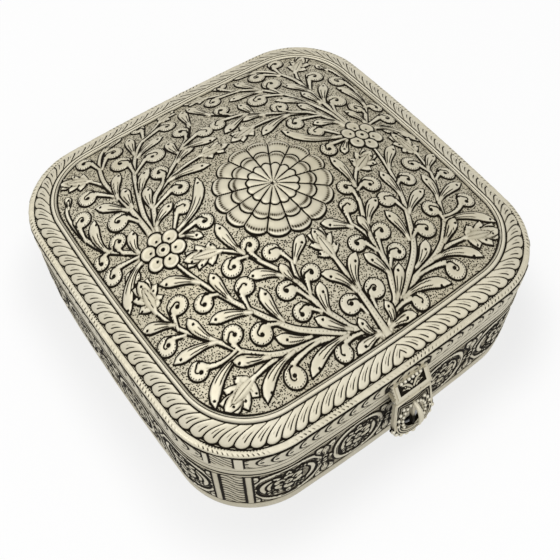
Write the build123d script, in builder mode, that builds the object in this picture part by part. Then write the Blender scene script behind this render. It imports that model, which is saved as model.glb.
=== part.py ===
from build123d import *
from math import atan, cos, degrees, hypot, pi, radians, sin, sqrt
import os

# A square silver box with a hinged domed lid, a rosette, a gadrooned border and a hanging hasp.
# Millimetres, +Z up, front at -Y, origin on the table under the middle of the box.

# Plan of the box
half_side = 101.3          # middle of the box to the middle of a side
side_turn = 2.74           # half of the angle that each shallow side arc turns through
corner_radius = 41.5

# Sheet and heights of the base
wall = 1.5                 # base wall and its bands
floor_sheet = 1.2
foot_height = 6.2          # plain band at the foot
seam_height = 50.2         # where the lid meets the base
top_band_height = 4.0      # plain band under the seam
bezel_rise = 3.8           # locating lip above the seam
bezel_depth = 10.0         # locating lip below the seam
bezel_sheet = 1.2
lid_clearance = 0.3        # lid band to locating lip
strip_rise = 0.35          # corner strips stand off the wall
strip_width = 3.6
strip_offset = 7.4         # middle of a strip from the middle of the corner

# Oval cartouches chased on every side of the base, each with a flower in its middle
cartouches = ((26.0, 13.2), (64.5, 16.6))    # middle from the middle of the side, half width
cartouche_half_height = 15.6
cartouche_line = 2.3       # width of the raised oval
cartouche_rise = 0.7
cartouche_flower = 4.5
oval_corners = 8

# Heights and insets of the lid, insets measured inward from the side
lid_sheet = wall - lid_clearance
edge_band_height = 3.5     # plain band above the seam
skirt_height = 11.8        # chased skirt
rim_thickness = 1.4        # flat rim wire on top of the skirt
rim_width = 5.0
rim_edge = 0.6
border_inset = 3.2         # foot of the gadrooned border
border_rise = 5.0
border_width = 8.2
border_swell = 0.64        # share of the rise reached halfway across
border_sheet = 1.2
corner_relax = 0.3         # corners of the border tighten less than its inset
moulding_width = 3.0
moulding_height = 1.7
moulding_bevel = 0.9
flange_width = 1.6         # ledge that carries the domed panel
panel_sheet = 1.2
dome_rise = 21.1
skin_margin = 0.4          # the curve of the dome runs on past its outline

# Gadroons of the border
lobes_per_half = 53
lobe_width = 5.5
lobe_head = 3.4            # middle of a lobe to its round end
lobe_tail = 3.9            # middle of a lobe to its pointed tail
lobe_lean = 2.0            # the tail leans to one side
lobe_height = 0.8
lobe_sink = 0.5
lobe_taper = 23.0          # each side leans in by this many degrees
lobe_blunt = 0.55          # flat of the round end as a share of the width

# Rosette and the two small flowers of the dome
petal_count = 15
rosette_tiers = ((28.5, 0.6), (20.5, 1.1), (12.5, 1.6))
scallop_depth = 1.3
rosette_root = 3.6         # the tiers start this far below the top of the dome
flower_offset = 58.5
flower_back = 5.0
flower_petals = 6
flower_petal_radius = 3.7
flower_ring = 7.0
flower_rise = 0.7
flower_root = 0.9

# Sprays of the dome: stems, leaves and coils of the left half, each from its root outward
spray_rise = 0.7
stem_root_width = 3.8
stem_end_width = 2.0
leaf_width = 4.2
leaf_belly = 0.65          # widest place of a leaf as a share of its length
coil_radius = 4.2
coil_corners = 8
stems = (
    ((0, -84), (0, -60), (0, -36)),
    ((-2, -84), (-14, -71), (-20, -52), (-28, -30), (-43, -12)),
    ((-3, -83), (-28, -67), (-42, -50), (-52, -28), (-57, -9)),
    ((-5, -82), (-40, -69.5), (-58, -57), (-73, -32), (-76.5, -8)),
    ((-42, -69), (-60, -69), (-74, -72)),
    ((-58.5, 17), (-58, 45), (-56, 70), (-38, 86)),
    ((-56.5, 18), (-50, 42), (-36, 67), (-14, 82)),
    ((-55, 17), (-40, 36), (-20, 50), (-4, 74)),
    ((-43, 34), (-30, 38), (-8, 37.5)),
    ((-66, 12), (-78, 26), (-82, 46), (-78, 64)),
)
leaves = (
    ((-37, -57), (-35.5, -40)),
    ((-25, -40), (-37, -31)),
    ((-34, -22), (-33, -2)),
    ((-46, -46), (-62, -38)),
    ((-60, -54), (-81, -42)),
    ((-60, -59), (-80, -69)),
    ((-42, -71), (-60, -81)),
    ((-58, 36), (-69, 50)),
    ((-38, 63), (-21, 67.5)),
    ((-50, 10), (-27, 26)),
)
coils = ((-13, -46.5), (-46, -80), (-47, -56), (-66, 34.5), (-44, 77), (-31, 57), (-59, -29))

# Back hinges
hinge_offset = 30.0
hinge_width = 20.0
hinge_radius = 2.0
hinge_stand_off = 2.3      # barrel axis behind the wall
leaf_sheet = 1.0
leaf_height = 11.0
pin_radius = 0.9
pin_clearance = 0.05
pin_end = 0.4              # a pin shows this much at each end
knuckle_gap = 0.3
barrel_relief = 1.0        # leaf edge from the other leaf's knuckle
leaf_gap = 0.3             # leaf edge from the seam
pin_seat = 0.01            # the pin is held in the base's knuckles

# Clasp bracket on the front of the lid
clasp_half_width = 10.6
clasp_barrel_radius = 1.8
clasp_stand_off = 4.2      # barrel axis in front of the wall
clasp_top = 9.0            # top edge of the bracket above the seam
bracket_top_depth = 1.0
bracket_tangent = 25.0     # where its face meets the barrel, in degrees above level
hasp_knuckle = 6.8         # length of the middle knuckle
barrel_clearance = 0.3
clasp_pin_radius = 0.8
recess_half_width = 7.4
recess_margin = 1.2
recess_depth = 0.5
tooth_count = 5
tooth_depth = 0.6

# Hasp, drawn in its own plane with the barrel axis at its top
hasp_rest_angle = 10.0     # it hangs a little away from the wall
hasp_sheet = 2.0
hasp_shoulder = 2.4        # top edge below the barrel axis
hasp_length = 33.0
hasp_round = 12.4          # radius of its round lower part
window_top = 10.5
window_bottom = 28.0
window_half_width = 5.6
rib_width = 1.3
rib_rise = 0.4
edge_bead = 1.15
edge_bead_pitch = 19.0     # degrees round the lower edge
edge_beads_per_side = 4
tip_bead = 1.5
crescent_rise = 0.9
crescent_edge = 1.4        # in from the edge of the hasp
crescent_width = 3.4       # at the bottom; it thins to points at the sides
crescent_side = 1.8
pull_width = 3.2
pull_top = 7.2             # root of the pull below the barrel axis
pull_root = 2.6
pull_reach = 6.8           # it stands this far in front of the hasp
pull_drop = 17.6           # from root to tip
pull_thick = 3.0
pull_knee = 0.55           # shares of the drop and of the reach that shape the pull's curve
pull_tip = 0.36
pull_bow = 0.82
pull_hollow = 0.42

# Catch on the base behind the hasp
catch_width = 11.0
catch_low = 25.0
catch_high = 38.0
catch_sheet = 0.8
clip_low = 28.5
clip_height = 4.5
clip_reach = 4.0
clip_sheet = 0.8
clip_clearance = 0.25      # each arm to the rib of the hasp

# Places worked out from the sizes above
edge_band_top = seam_height + edge_band_height
skirt_top = edge_band_top + skirt_height
rim_top = skirt_top + rim_thickness
flange_top = rim_top + border_rise
panel_half = half_side - border_inset - border_width - moulding_width
moulding_inset = border_inset + border_width
panel_inset = moulding_inset + moulding_width
panel_corner = corner_radius - panel_inset * (1 - corner_relax)
apex = flange_top + dome_rise
skin_half = panel_half + skin_margin
crown_radius = skin_half**2 / (2 * dome_rise)    # the dome is nearly a sphere under the rosette
hinge_y = half_side + hinge_stand_off
clasp_y = -half_side - clasp_stand_off
pin_bore = pin_radius + pin_clearance


def corner_spread(half, corner):
    """Distance from the centre of a side arc to the centre of the corner arc that it runs into."""
    return (half - corner) / (1 - cos(radians(side_turn)) + sin(radians(side_turn)))


def plan_line(half, corner):
    """Right half of a plan outline, from the middle of the front round to the middle of the back."""
    side_radius = corner_spread(half, corner) + corner
    with BuildLine() as line:
        front = JernArc((0, -half), (1, 0), side_radius, side_turn)
        front_corner = JernArc(front @ 1, front % 1, corner, 90 - 2 * side_turn)
        flank = JernArc(front_corner @ 1, front_corner % 1, side_radius, 2 * side_turn)
        back_corner = JernArc(flank @ 1, flank % 1, corner, 90 - 2 * side_turn)
        JernArc(back_corner @ 1, back_corner % 1, side_radius, side_turn)
    return line.line


def plan_face(half, corner):
    """Face inside a whole plan outline."""
    with BuildSketch() as face:
        with BuildLine():
            add(plan_line(half, corner))
            mirror(about=Plane.YZ)
        make_face()
    return face.sketch


def inset_face(inset, relax=0.0):
    """Face inside the outline drawn a distance in from the side of the box."""
    return plan_face(half_side - inset, corner_radius - inset * (1 - relax))


def band_face(outer, inner, relax=0.0):
    """Closed band between two insets."""
    with BuildSketch() as face:
        add(inset_face(outer, relax))
        add(inset_face(inner, relax), mode=Mode.SUBTRACT)
    return face.sketch


def wall_patch(x_middle, y_side, width, thickness):
    """Strip of sheet that follows the outside of the wall at the front or the back."""
    with BuildSketch() as face:
        add(band_face(-thickness, 0))
        with Locations((x_middle, y_side * half_side)):
            Rectangle(width, 6 * thickness + 6, mode=Mode.INTERSECT)
    return face.sketch


def dome_skin(half, rise):
    """Skin of the dome: a parabola each way, level along the middles of its four sides."""
    reach = half + skin_margin
    swell = (0, 2, 0)
    rows = []
    for i in range(3):
        row = []
        for j in range(3):
            level = flange_top + rise * swell[i] * swell[j]
            row.append(Vector(reach * (i - 1), reach * (j - 1), level))
        rows.append(row)
    return Face.make_bezier_surface(rows)


def dome_body(half, corner, rise, root=0.0):
    """Solid under a dome, inside a plan outline, down to the flange or to a root below it."""
    with BuildPart() as body:
        with BuildSketch(Plane.XY.offset(flange_top - root)):
            add(plan_face(half, corner))
        extrude(amount=root + rise)
        extrude(to_extrude=dome_skin(half, rise), amount=2 * rise, dir=(0, 0, -1), mode=Mode.INTERSECT)
    return body.part


def stem_outline(points):
    """Plan of a stem that narrows from its root to its end."""
    left = []
    right = []
    last = len(points) - 1
    for k, (x, y) in enumerate(points):
        before = Vector(*points[max(k - 1, 0)])
        after = Vector(*points[min(k + 1, last)])
        way = (after - before).normalized()
        half = (stem_root_width + (stem_end_width - stem_root_width) * k / last) / 2
        left.append((x - way.Y * half, y + way.X * half))
        right.append((x + way.Y * half, y - way.X * half))
    return left + right[::-1]


def leaf_outline(base, tip):
    """Plan of a pointed leaf."""
    base = Vector(*base)
    tip = Vector(*tip)
    across = (tip - base).normalized().rotate(Axis.Z, 90) * leaf_width / 2
    belly = base + (tip - base) * leaf_belly
    foot = across * (stem_end_width / leaf_width)
    return [base + foot, base - foot, belly - across, tip, belly + across]


def oval_outline(half_width, half_height):
    """Many-sided oval about the middle of the base wall's height."""
    turns = [2 * pi * (k + 0.5) / oval_corners for k in range(oval_corners)]
    return [(half_width * cos(turn), half_height * sin(turn)) for turn in turns]


def filled(points):
    """Face inside a ring of points."""
    with BuildSketch() as face:
        with BuildLine():
            Polyline(*points, close=True)
        make_face()
    return face.sketch


def scallop_face(radius):
    """Disc whose edge is a ring of blunt petal ends, each of three short edges."""
    corners = []
    for k in range(petal_count):
        for share, reach in ((0, radius - scallop_depth), (0.25, radius), (0.75, radius)):
            turn = pi + 2 * pi * (k + share) / petal_count
            corners.append((reach * cos(turn), reach * sin(turn)))
    with BuildSketch() as face:
        with BuildLine():
            Polyline(*corners, close=True)
        make_face()
    return face.sketch


def rosette_tier(radius, rise):
    """One tier of petals, crowned like the dome under it."""
    with BuildPart() as tier:
        with BuildSketch(Plane.XY.offset(apex - rosette_root)):
            add(scallop_face(radius))
        extrude(amount=rosette_root + rise + skin_margin)
        with BuildSketch(Plane.XZ):
            with BuildLine():
                reach = radius + 1
                drop = crown_radius - sqrt(crown_radius**2 - reach**2)
                RadiusArc((0, apex + rise), (reach, apex + rise - drop), crown_radius)
                Polyline(
                    (reach, apex + rise - drop),
                    (reach, apex - rosette_root - 1),
                    (0, apex - rosette_root - 1),
                    (0, apex + rise),
                )
            make_face()
        revolve(axis=Axis.Z, mode=Mode.INTERSECT)
    return tier.part


def gadroon(seat):
    """One raised gadroon, round end outward and tail leaning to one side, drawn in towards its top."""
    side = lobe_width / 2
    with BuildPart() as lobe:
        with BuildSketch(seat):
            with BuildLine():
                Polyline(
                    (-side, side - lobe_head),
                    (-side * lobe_blunt, -lobe_head),
                    (side * lobe_blunt, -lobe_head),
                    (side, side - lobe_head),
                    (lobe_lean, lobe_tail),
                    close=True,
                )
            make_face()
        extrude(amount=lobe_height + lobe_sink, taper=lobe_taper)
    return lobe.part.solids()[0]


# Ovals and flowers that stand off the base wall, clear of the hinge leaves
wall_middle = (foot_height + seam_height - top_band_height) / 2
with BuildPart() as base_relief:
    for side_plane in (Plane.XZ, Plane.YZ):
        with BuildSketch(side_plane):
            for offset, half_width in cartouches:
                for hand in (-1, 1):
                    with Locations((hand * offset, wall_middle)):
                        add(filled(oval_outline(half_width, cartouche_half_height)))
                        hole = (half_width - cartouche_line, cartouche_half_height - cartouche_line)
                        add(filled(oval_outline(*hole)), mode=Mode.SUBTRACT)
                        RegularPolygon(cartouche_flower, flower_petals)
        extrude(amount=half_side + 2 * cartouche_rise, both=True)
    with BuildSketch(Plane.XY.offset(foot_height)):
        add(band_face(-cartouche_rise, wall / 2))
    extrude(amount=seam_height - top_band_height - foot_height, mode=Mode.INTERSECT)
    with BuildSketch(Plane.XY.offset(seam_height - leaf_height - leaf_gap)):
        with Locations((-hinge_offset, half_side), (hinge_offset, half_side)):
            Rectangle(hinge_width + 2 * leaf_gap, 4 * leaf_sheet)
        add(inset_face(0), mode=Mode.SUBTRACT)
    extrude(amount=leaf_height, mode=Mode.SUBTRACT)

# Base wall: plain sheet with two raised strips on every corner
strip_turn = degrees(strip_offset / corner_radius)
corner_middle = corner_spread(half_side, corner_radius) * sin(radians(side_turn))
with BuildPart() as base_wall:
    with BuildSketch(Plane.XY.offset(foot_height)):
        add(band_face(0, wall))
    extrude(amount=seam_height - top_band_height - foot_height)
    with BuildSketch(Plane.XY.offset(foot_height)):
        for quarter in (45, 135, 225, 315):
            middle = Location((corner_middle * sqrt(2) * cos(radians(quarter)),
                               corner_middle * sqrt(2) * sin(radians(quarter)), 0))
            for hand in (-1, 1):
                with Locations(middle * Location((0, 0, 0), (0, 0, quarter + hand * strip_turn))):
                    with Locations((corner_radius + strip_rise / 2, 0)):
                        Rectangle(strip_rise + wall, strip_width)
        add(inset_face(wall / 2), mode=Mode.SUBTRACT)
    extrude(amount=seam_height - top_band_height - foot_height)
    add(base_relief.part)
base_wall.part.label = "base_wall"

with BuildPart() as base_floor:
    with BuildSketch():
        add(inset_face(wall))
    extrude(amount=floor_sheet)
base_floor.part.label = "base_floor"

with BuildPart() as base_foot_band:
    with BuildSketch():
        add(band_face(0, wall))
    extrude(amount=foot_height)
base_foot_band.part.label = "base_foot_band"

with BuildPart() as base_top_band:
    with BuildSketch(Plane.XY.offset(seam_height - top_band_height)):
        add(band_face(0, wall))
    extrude(amount=top_band_height)
base_top_band.part.label = "base_top_band"

# Lip inside the base that the lid drops over
with BuildPart() as base_bezel:
    with BuildSketch(Plane.XY.offset(seam_height - bezel_depth)):
        add(band_face(wall, wall + bezel_sheet))
    extrude(amount=bezel_depth + bezel_rise)
base_bezel.part.label = "base_bezel"

# Lid, from the seam up
with BuildPart() as lid_edge_band:
    with BuildSketch(Plane.XY.offset(seam_height)):
        add(band_face(0, lid_sheet))
    extrude(amount=edge_band_height)
lid_edge_band.part.label = "lid_edge_band"

with BuildPart() as lid_skirt:
    with BuildSketch(Plane.XY.offset(edge_band_top)):
        add(band_face(0, lid_sheet))
    extrude(amount=skirt_height)
lid_skirt.part.label = "lid_skirt"

with BuildPart() as lid_rim:
    with BuildSketch(Plane.XY.offset(skirt_top)):
        add(band_face(0, rim_width))
    extrude(amount=rim_thickness)
    outer_loops = lid_rim.faces().group_by(Axis.Z)[-1].wires().sort_by(SortBy.LENGTH)[-1]
    chamfer(outer_loops.edges(), rim_edge)
lid_rim.part.label = "lid_rim"

# Border: a swelling frame that falls from the moulding to the rim and carries the gadroons
border_middle = border_inset + border_width / 2
border_level = rim_top + border_rise * border_swell
border_levels = ((border_inset, rim_top), (border_middle, border_level), (moulding_inset, flange_top))
lobe_line = plan_line(half_side - border_middle, corner_radius - border_middle * (1 - corner_relax))
lobe_path = Wire(lobe_line.edges())
lobe_slope = atan(border_rise / border_width)
lobes = []
for k in range(lobes_per_half):
    place = (k + 0.5) / lobes_per_half
    along = lobe_path % place
    up = Vector(along.Y * sin(lobe_slope), -along.X * sin(lobe_slope), cos(lobe_slope))
    middle = lobe_path @ place + Vector(0, 0, border_level)
    lobes.append(gadroon(Plane(origin=middle - up * lobe_sink, x_dir=along, z_dir=up)))
with BuildPart() as lid_border:
    for inset, level in border_levels:
        with BuildSketch(Plane.XY.offset(level)):
            add(inset_face(inset, corner_relax))
    loft(ruled=True)
    for inset, level in border_levels:
        with BuildSketch(Plane.XY.offset(level - border_sheet)):
            add(inset_face(inset + border_sheet, corner_relax))
    loft(ruled=True, mode=Mode.SUBTRACT)
    with BuildSketch(Plane.XY.offset(rim_top)):
        add(inset_face(panel_inset + flange_width, corner_relax))
    extrude(amount=border_rise, mode=Mode.SUBTRACT)
    split(bisect_by=Plane.YZ, keep=Keep.TOP)
    add(lobes)
    mirror(about=Plane.YZ)
lid_border.part.label = "lid_border"

with BuildPart() as lid_moulding:
    with BuildSketch(Plane.XY.offset(flange_top)):
        add(band_face(moulding_inset, panel_inset, corner_relax))
    extrude(amount=moulding_height)
    chamfer(lid_moulding.faces().group_by(Axis.Z)[-1].edges(), moulding_bevel)
lid_moulding.part.label = "lid_moulding"

# Sprays of stems, leaves and coils, the same left and right
with BuildPart() as sprays:
    with BuildSketch(Plane.XY.offset(flange_top)):
        for points in stems:
            add(filled(stem_outline(points)))
        for base, tip in leaves:
            add(filled(leaf_outline(base, tip)))
        with Locations(*coils):
            RegularPolygon(coil_radius, coil_corners)
        mirror(about=Plane.YZ)
    extrude(amount=dome_rise + spray_rise)
    raised_skin = Pos(0, 0, spray_rise) * dome_skin(panel_half, dome_rise)
    extrude(to_extrude=raised_skin, amount=2 * dome_rise, dir=(0, 0, -1), mode=Mode.INTERSECT)

# Domed panel with the three tiers of the rosette and the two small flowers
rosette = [rosette_tier(radius, rise) for radius, rise in rosette_tiers]
outer_dome = dome_body(panel_half, panel_corner, dome_rise)
hollow_half = panel_half - panel_sheet
hollow = dome_body(hollow_half, panel_corner - panel_sheet, dome_rise - panel_sheet, root=panel_sheet)
flower_share = flower_offset / skin_half
flower_swell = dome_rise * (1 - (flower_back / skin_half) ** 2)
flower_level = flange_top + flower_swell * (1 - flower_share**2)
flower_slope = atan(2 * flower_swell / skin_half * flower_share)
with BuildPart() as lid_panel:
    add(outer_dome)
    add(sprays.part)
    add(rosette)
    for side in (-1, 1):
        up = Vector(side * sin(flower_slope), 0, cos(flower_slope))
        middle = Vector(side * flower_offset, flower_back, flower_level)
        with BuildSketch(Plane(origin=middle - up * flower_root, x_dir=(0, 1, 0), z_dir=up)):
            with PolarLocations(flower_ring, flower_petals):
                RegularPolygon(flower_petal_radius, 8, rotation=22.5)
            RegularPolygon(flower_ring - flower_petal_radius / 2, flower_petals)
        extrude(amount=flower_root + flower_rise)
    add(hollow, mode=Mode.SUBTRACT)
lid_panel.part.label = "lid_panel"

# Back hinges: two leaves that curl round a pin, outer knuckles on the base, middle one on the lid
knuckle = (hinge_width - 2 * knuckle_gap) / 3
keep_off = hinge_radius + barrel_relief
pieces = [base_wall, base_floor, base_foot_band, base_top_band, base_bezel,
          lid_edge_band, lid_skirt, lid_rim, lid_border, lid_moulding, lid_panel]
for name, middle in (("left", -hinge_offset), ("right", hinge_offset)):
    start = middle - hinge_width / 2
    web_depth = hinge_stand_off - leaf_gap
    with BuildPart() as hinge_base:
        with BuildSketch(Plane.XY.offset(seam_height - leaf_height)):
            add(wall_patch(middle, 1, hinge_width, leaf_sheet))
        extrude(amount=leaf_height - leaf_gap)
        with BuildSketch(Plane.XY.offset(seam_height - keep_off)):
            with Locations((middle, half_side)):
                Rectangle(knuckle + 2 * knuckle_gap, 4 * hinge_stand_off)
        extrude(amount=keep_off, mode=Mode.SUBTRACT)
        for offset in (0, hinge_width - knuckle):
            with BuildSketch(Plane.YZ.offset(start + offset)):
                with Locations((hinge_y, seam_height)):
                    Circle(hinge_radius)
                with Locations((hinge_y, seam_height)):
                    Rectangle(web_depth, hinge_radius, align=(Align.MAX, Align.MAX))
            extrude(amount=knuckle)
        with BuildSketch(Plane.YZ.offset(start)):
            with Locations((hinge_y, seam_height)):
                Circle(pin_radius + pin_seat)
        extrude(amount=hinge_width, mode=Mode.SUBTRACT)
    hinge_base.part.label = "hinge_base_" + name
    with BuildPart() as hinge_lid:
        with BuildSketch(Plane.XY.offset(seam_height + leaf_gap)):
            add(wall_patch(middle, 1, hinge_width, leaf_sheet))
        extrude(amount=leaf_height - leaf_gap)
        for offset in (0, hinge_width - knuckle):
            with BuildSketch(Plane.XY.offset(seam_height)):
                with Locations((start + offset + knuckle / 2, half_side)):
                    Rectangle(knuckle + 2 * knuckle_gap, 4 * hinge_stand_off)
            extrude(amount=keep_off, mode=Mode.SUBTRACT)
        with BuildSketch(Plane.YZ.offset(middle - knuckle / 2)):
            with Locations((hinge_y, seam_height)):
                Circle(hinge_radius)
            with Locations((hinge_y, seam_height)):
                Rectangle(web_depth, hinge_radius, align=(Align.MAX, Align.MIN))
        extrude(amount=knuckle)
        with BuildSketch(Plane.YZ.offset(start)):
            with Locations((hinge_y, seam_height)):
                Circle(pin_bore)
        extrude(amount=hinge_width, mode=Mode.SUBTRACT)
    hinge_lid.part.label = "hinge_lid_" + name
    with BuildPart() as hinge_pin:
        with BuildSketch(Plane.YZ.offset(start - pin_end)):
            with Locations((hinge_y, seam_height)):
                Circle(pin_radius)
        extrude(amount=hinge_width + 2 * pin_end)
    hinge_pin.part.label = "hinge_pin_" + name
    pieces += [hinge_base, hinge_lid, hinge_pin]

# Clasp bracket: a plate that leans out from the skirt to its two knuckles, with toothed sides
face_run = clasp_stand_off + clasp_barrel_radius * cos(radians(bracket_tangent)) - bracket_top_depth
face_fall = clasp_top - clasp_barrel_radius * sin(radians(bracket_tangent))
face_length = hypot(face_run, face_fall)
bracket_face = Plane(
    origin=(0, -half_side - bracket_top_depth, seam_height + clasp_top),
    x_dir=(1, 0, 0),
    z_dir=(0, -face_fall, face_run),
)
side_knuckle = clasp_half_width - hasp_knuckle / 2 - knuckle_gap
tooth_pitch = face_length / tooth_count
with BuildPart() as clasp_bracket:
    with BuildSketch(Plane.YZ.offset(-clasp_half_width)):
        with BuildLine():
            Polyline(
                (-half_side + wall, seam_height + leaf_gap),
                (-half_side + wall, seam_height + clasp_top),
                (-half_side - bracket_top_depth, seam_height + clasp_top),
                (-half_side - bracket_top_depth - face_run, seam_height + clasp_top - face_fall),
                (clasp_y, seam_height + leaf_gap),
                close=True,
            )
        make_face()
    extrude(amount=2 * clasp_half_width)
    with BuildSketch(bracket_face):
        for side in (-1, 1):
            for k in range(tooth_count):
                with Locations((side * clasp_half_width, -(k + 0.5) * tooth_pitch)):
                    Rectangle(tooth_depth * sqrt(2), tooth_depth * sqrt(2), rotation=45)
    extrude(amount=-2 * clasp_top, mode=Mode.SUBTRACT)
    with BuildSketch(bracket_face):
        with Locations((0, -recess_margin)):
            Rectangle(
                2 * recess_half_width,
                face_length - 2 * recess_margin,
                align=(Align.CENTER, Align.MAX),
            )
    extrude(amount=-recess_depth, mode=Mode.SUBTRACT)
    for start in (-clasp_half_width, clasp_half_width - side_knuckle):
        with BuildSketch(Plane.YZ.offset(start)):
            with Locations((clasp_y, seam_height)):
                Circle(clasp_barrel_radius)
        extrude(amount=side_knuckle)
    with BuildSketch(Plane.YZ.offset(-hasp_knuckle / 2 - knuckle_gap)):
        with Locations((clasp_y, seam_height)):
            Circle(clasp_barrel_radius + barrel_clearance)
    extrude(amount=hasp_knuckle + 2 * knuckle_gap, mode=Mode.SUBTRACT)
    with BuildSketch(Plane.YZ.offset(-clasp_half_width)):
        with Locations((clasp_y, seam_height)):
            Circle(clasp_pin_radius + pin_seat)
    extrude(amount=2 * clasp_half_width, mode=Mode.SUBTRACT)
    with BuildSketch(Plane.XY.offset(seam_height)):
        add(inset_face(0))
    extrude(amount=clasp_top, mode=Mode.SUBTRACT)
clasp_bracket.part.label = "clasp_bracket"

with BuildPart() as clasp_pin:
    with BuildSketch(Plane.YZ.offset(-clasp_half_width - pin_end)):
        with Locations((clasp_y, seam_height)):
            Circle(clasp_pin_radius)
    extrude(amount=2 * (clasp_half_width + pin_end))
clasp_pin.part.label = "clasp_pin"

# Hasp: round openwork plate hanging from the middle knuckle
tilt = radians(hasp_rest_angle)
hasp_plane = Plane(origin=(0, clasp_y, seam_height), x_dir=(1, 0, 0), z_dir=(0, -cos(tilt), sin(tilt)))
hasp_side_plane = Plane(origin=hasp_plane.origin, x_dir=hasp_plane.z_dir, z_dir=(-1, 0, 0))
round_middle = hasp_round - hasp_length
window_middle = -(window_top + window_bottom) / 2
window_height = window_bottom - window_top
with BuildPart() as hasp_plate:
    with BuildSketch(hasp_plane.offset(-hasp_sheet / 2)):
        with BuildLine():
            Polyline(
                (-clasp_half_width, -hasp_shoulder),
                (clasp_half_width, -hasp_shoulder),
                (hasp_round, round_middle),
                (-hasp_round, round_middle),
                close=True,
            )
        make_face()
        with Locations((0, round_middle)):
            Circle(hasp_round)
        Rectangle(hasp_knuckle, 2 * hasp_shoulder, align=(Align.CENTER, Align.MAX))
        for k in range(-edge_beads_per_side, edge_beads_per_side + 1):
            turn = radians(k * edge_bead_pitch)
            with Locations((hasp_round * sin(turn), round_middle - hasp_round * cos(turn))):
                RegularPolygon(edge_bead if k else tip_bead, 8)
        with Locations((0, window_middle)):
            Ellipse(window_half_width, window_height / 2, mode=Mode.SUBTRACT)
    extrude(amount=hasp_sheet)
    with BuildSketch(hasp_plane.offset(-hasp_sheet / 2)):
        with Locations((0, window_middle)):
            Rectangle(rib_width, window_height)
    extrude(amount=hasp_sheet + rib_rise)
    with BuildSketch(Plane.YZ.offset(-hasp_knuckle / 2)):
        with Locations((clasp_y, seam_height)):
            Circle(clasp_barrel_radius)
    extrude(amount=hasp_knuckle)
    with BuildSketch(Plane.YZ.offset(-hasp_knuckle / 2)):
        with Locations((clasp_y, seam_height)):
            Circle(clasp_pin_radius + pin_clearance)
    extrude(amount=hasp_knuckle, mode=Mode.SUBTRACT)
hasp_plate.part.label = "hasp_plate"

# Crescent soldered on the front of the hasp below its window
crescent_outer = hasp_round - crescent_edge
crescent_inner = crescent_outer - (crescent_width + crescent_side / 2) / 2
with BuildPart() as hasp_crescent:
    with BuildSketch(hasp_plane.offset(hasp_sheet / 2)):
        with Locations((0, round_middle)):
            Circle(crescent_outer)
        with Locations((0, round_middle - crescent_outer + crescent_width + crescent_inner)):
            Circle(crescent_inner, mode=Mode.SUBTRACT)
        with Locations((0, round_middle + crescent_outer)):
            Rectangle(4 * hasp_round, 2 * crescent_outer - 2 * crescent_side, mode=Mode.SUBTRACT)
    extrude(amount=crescent_rise)
hasp_crescent.part.label = "hasp_crescent"

# Curved pull that stands out from the hasp above the window and hangs in front of its rib
front = hasp_sheet / 2
with BuildPart() as hasp_pull:
    with BuildSketch(hasp_side_plane.offset(-pull_width / 2)):
        with BuildLine():
            bow = front + pull_reach * pull_bow
            shoulder = (front + pull_reach, -pull_top - pull_drop * pull_knee)
            tip = (front + pull_reach * pull_tip, -pull_top - pull_drop)
            elbow = (front + pull_reach - pull_thick, -pull_top - pull_drop * pull_hollow)
            root = (front, -pull_top - pull_root)
            ThreePointArc((front, -pull_top), (bow, -pull_top - pull_drop * (1 - pull_bow)), shoulder)
            ThreePointArc(shoulder, (bow, -pull_top - pull_drop * pull_bow), tip)
            ThreePointArc(tip, (front + pull_reach * pull_knee, -pull_top - pull_drop * 2 / 3), elbow)
            ThreePointArc(elbow, (front + pull_reach * pull_tip, -pull_top - pull_drop / 4), root)
            Line(root, (front, -pull_top))
        make_face()
    extrude(amount=pull_width)
hasp_pull.part.label = "hasp_pull"

# Catch on the base: a small plate with a spring clip whose arms take the rib of the hasp
with BuildPart() as catch_plate:
    with BuildSketch(Plane.XY.offset(catch_low)):
        add(wall_patch(0, -1, catch_width, catch_sheet))
    extrude(amount=catch_high - catch_low)
catch_plate.part.label = "catch_plate"

clip_gap = rib_width / 2 + clip_clearance
with BuildPart() as catch_clip:
    with BuildSketch(Plane.XY.offset(clip_low)):
        with Locations((0, -half_side - catch_sheet)):
            Rectangle(2 * (clip_gap + clip_sheet), clip_reach, align=(Align.CENTER, Align.MAX))
        with Locations((0, -half_side - catch_sheet - clip_sheet)):
            Rectangle(2 * clip_gap, clip_reach, align=(Align.CENTER, Align.MAX), mode=Mode.SUBTRACT)
    extrude(amount=clip_height)
catch_clip.part.label = "catch_clip"

pieces += [clasp_bracket, clasp_pin, hasp_plate, hasp_crescent, hasp_pull, catch_plate, catch_clip]
os.makedirs("parts", exist_ok=True)
for piece in pieces:
    export_step(piece.part, f"parts/{piece.part.label}.step")
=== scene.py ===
from functools import partial, reduce

import bmesh
import bpy
import numpy as np
from mathutils import Matrix, Vector
from numpy import (arange, array, clip, cos, exp, hypot, interp, linspace, maximum, minimum, pi, radians,
                   sign, sin, sqrt, stack, where)


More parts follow.
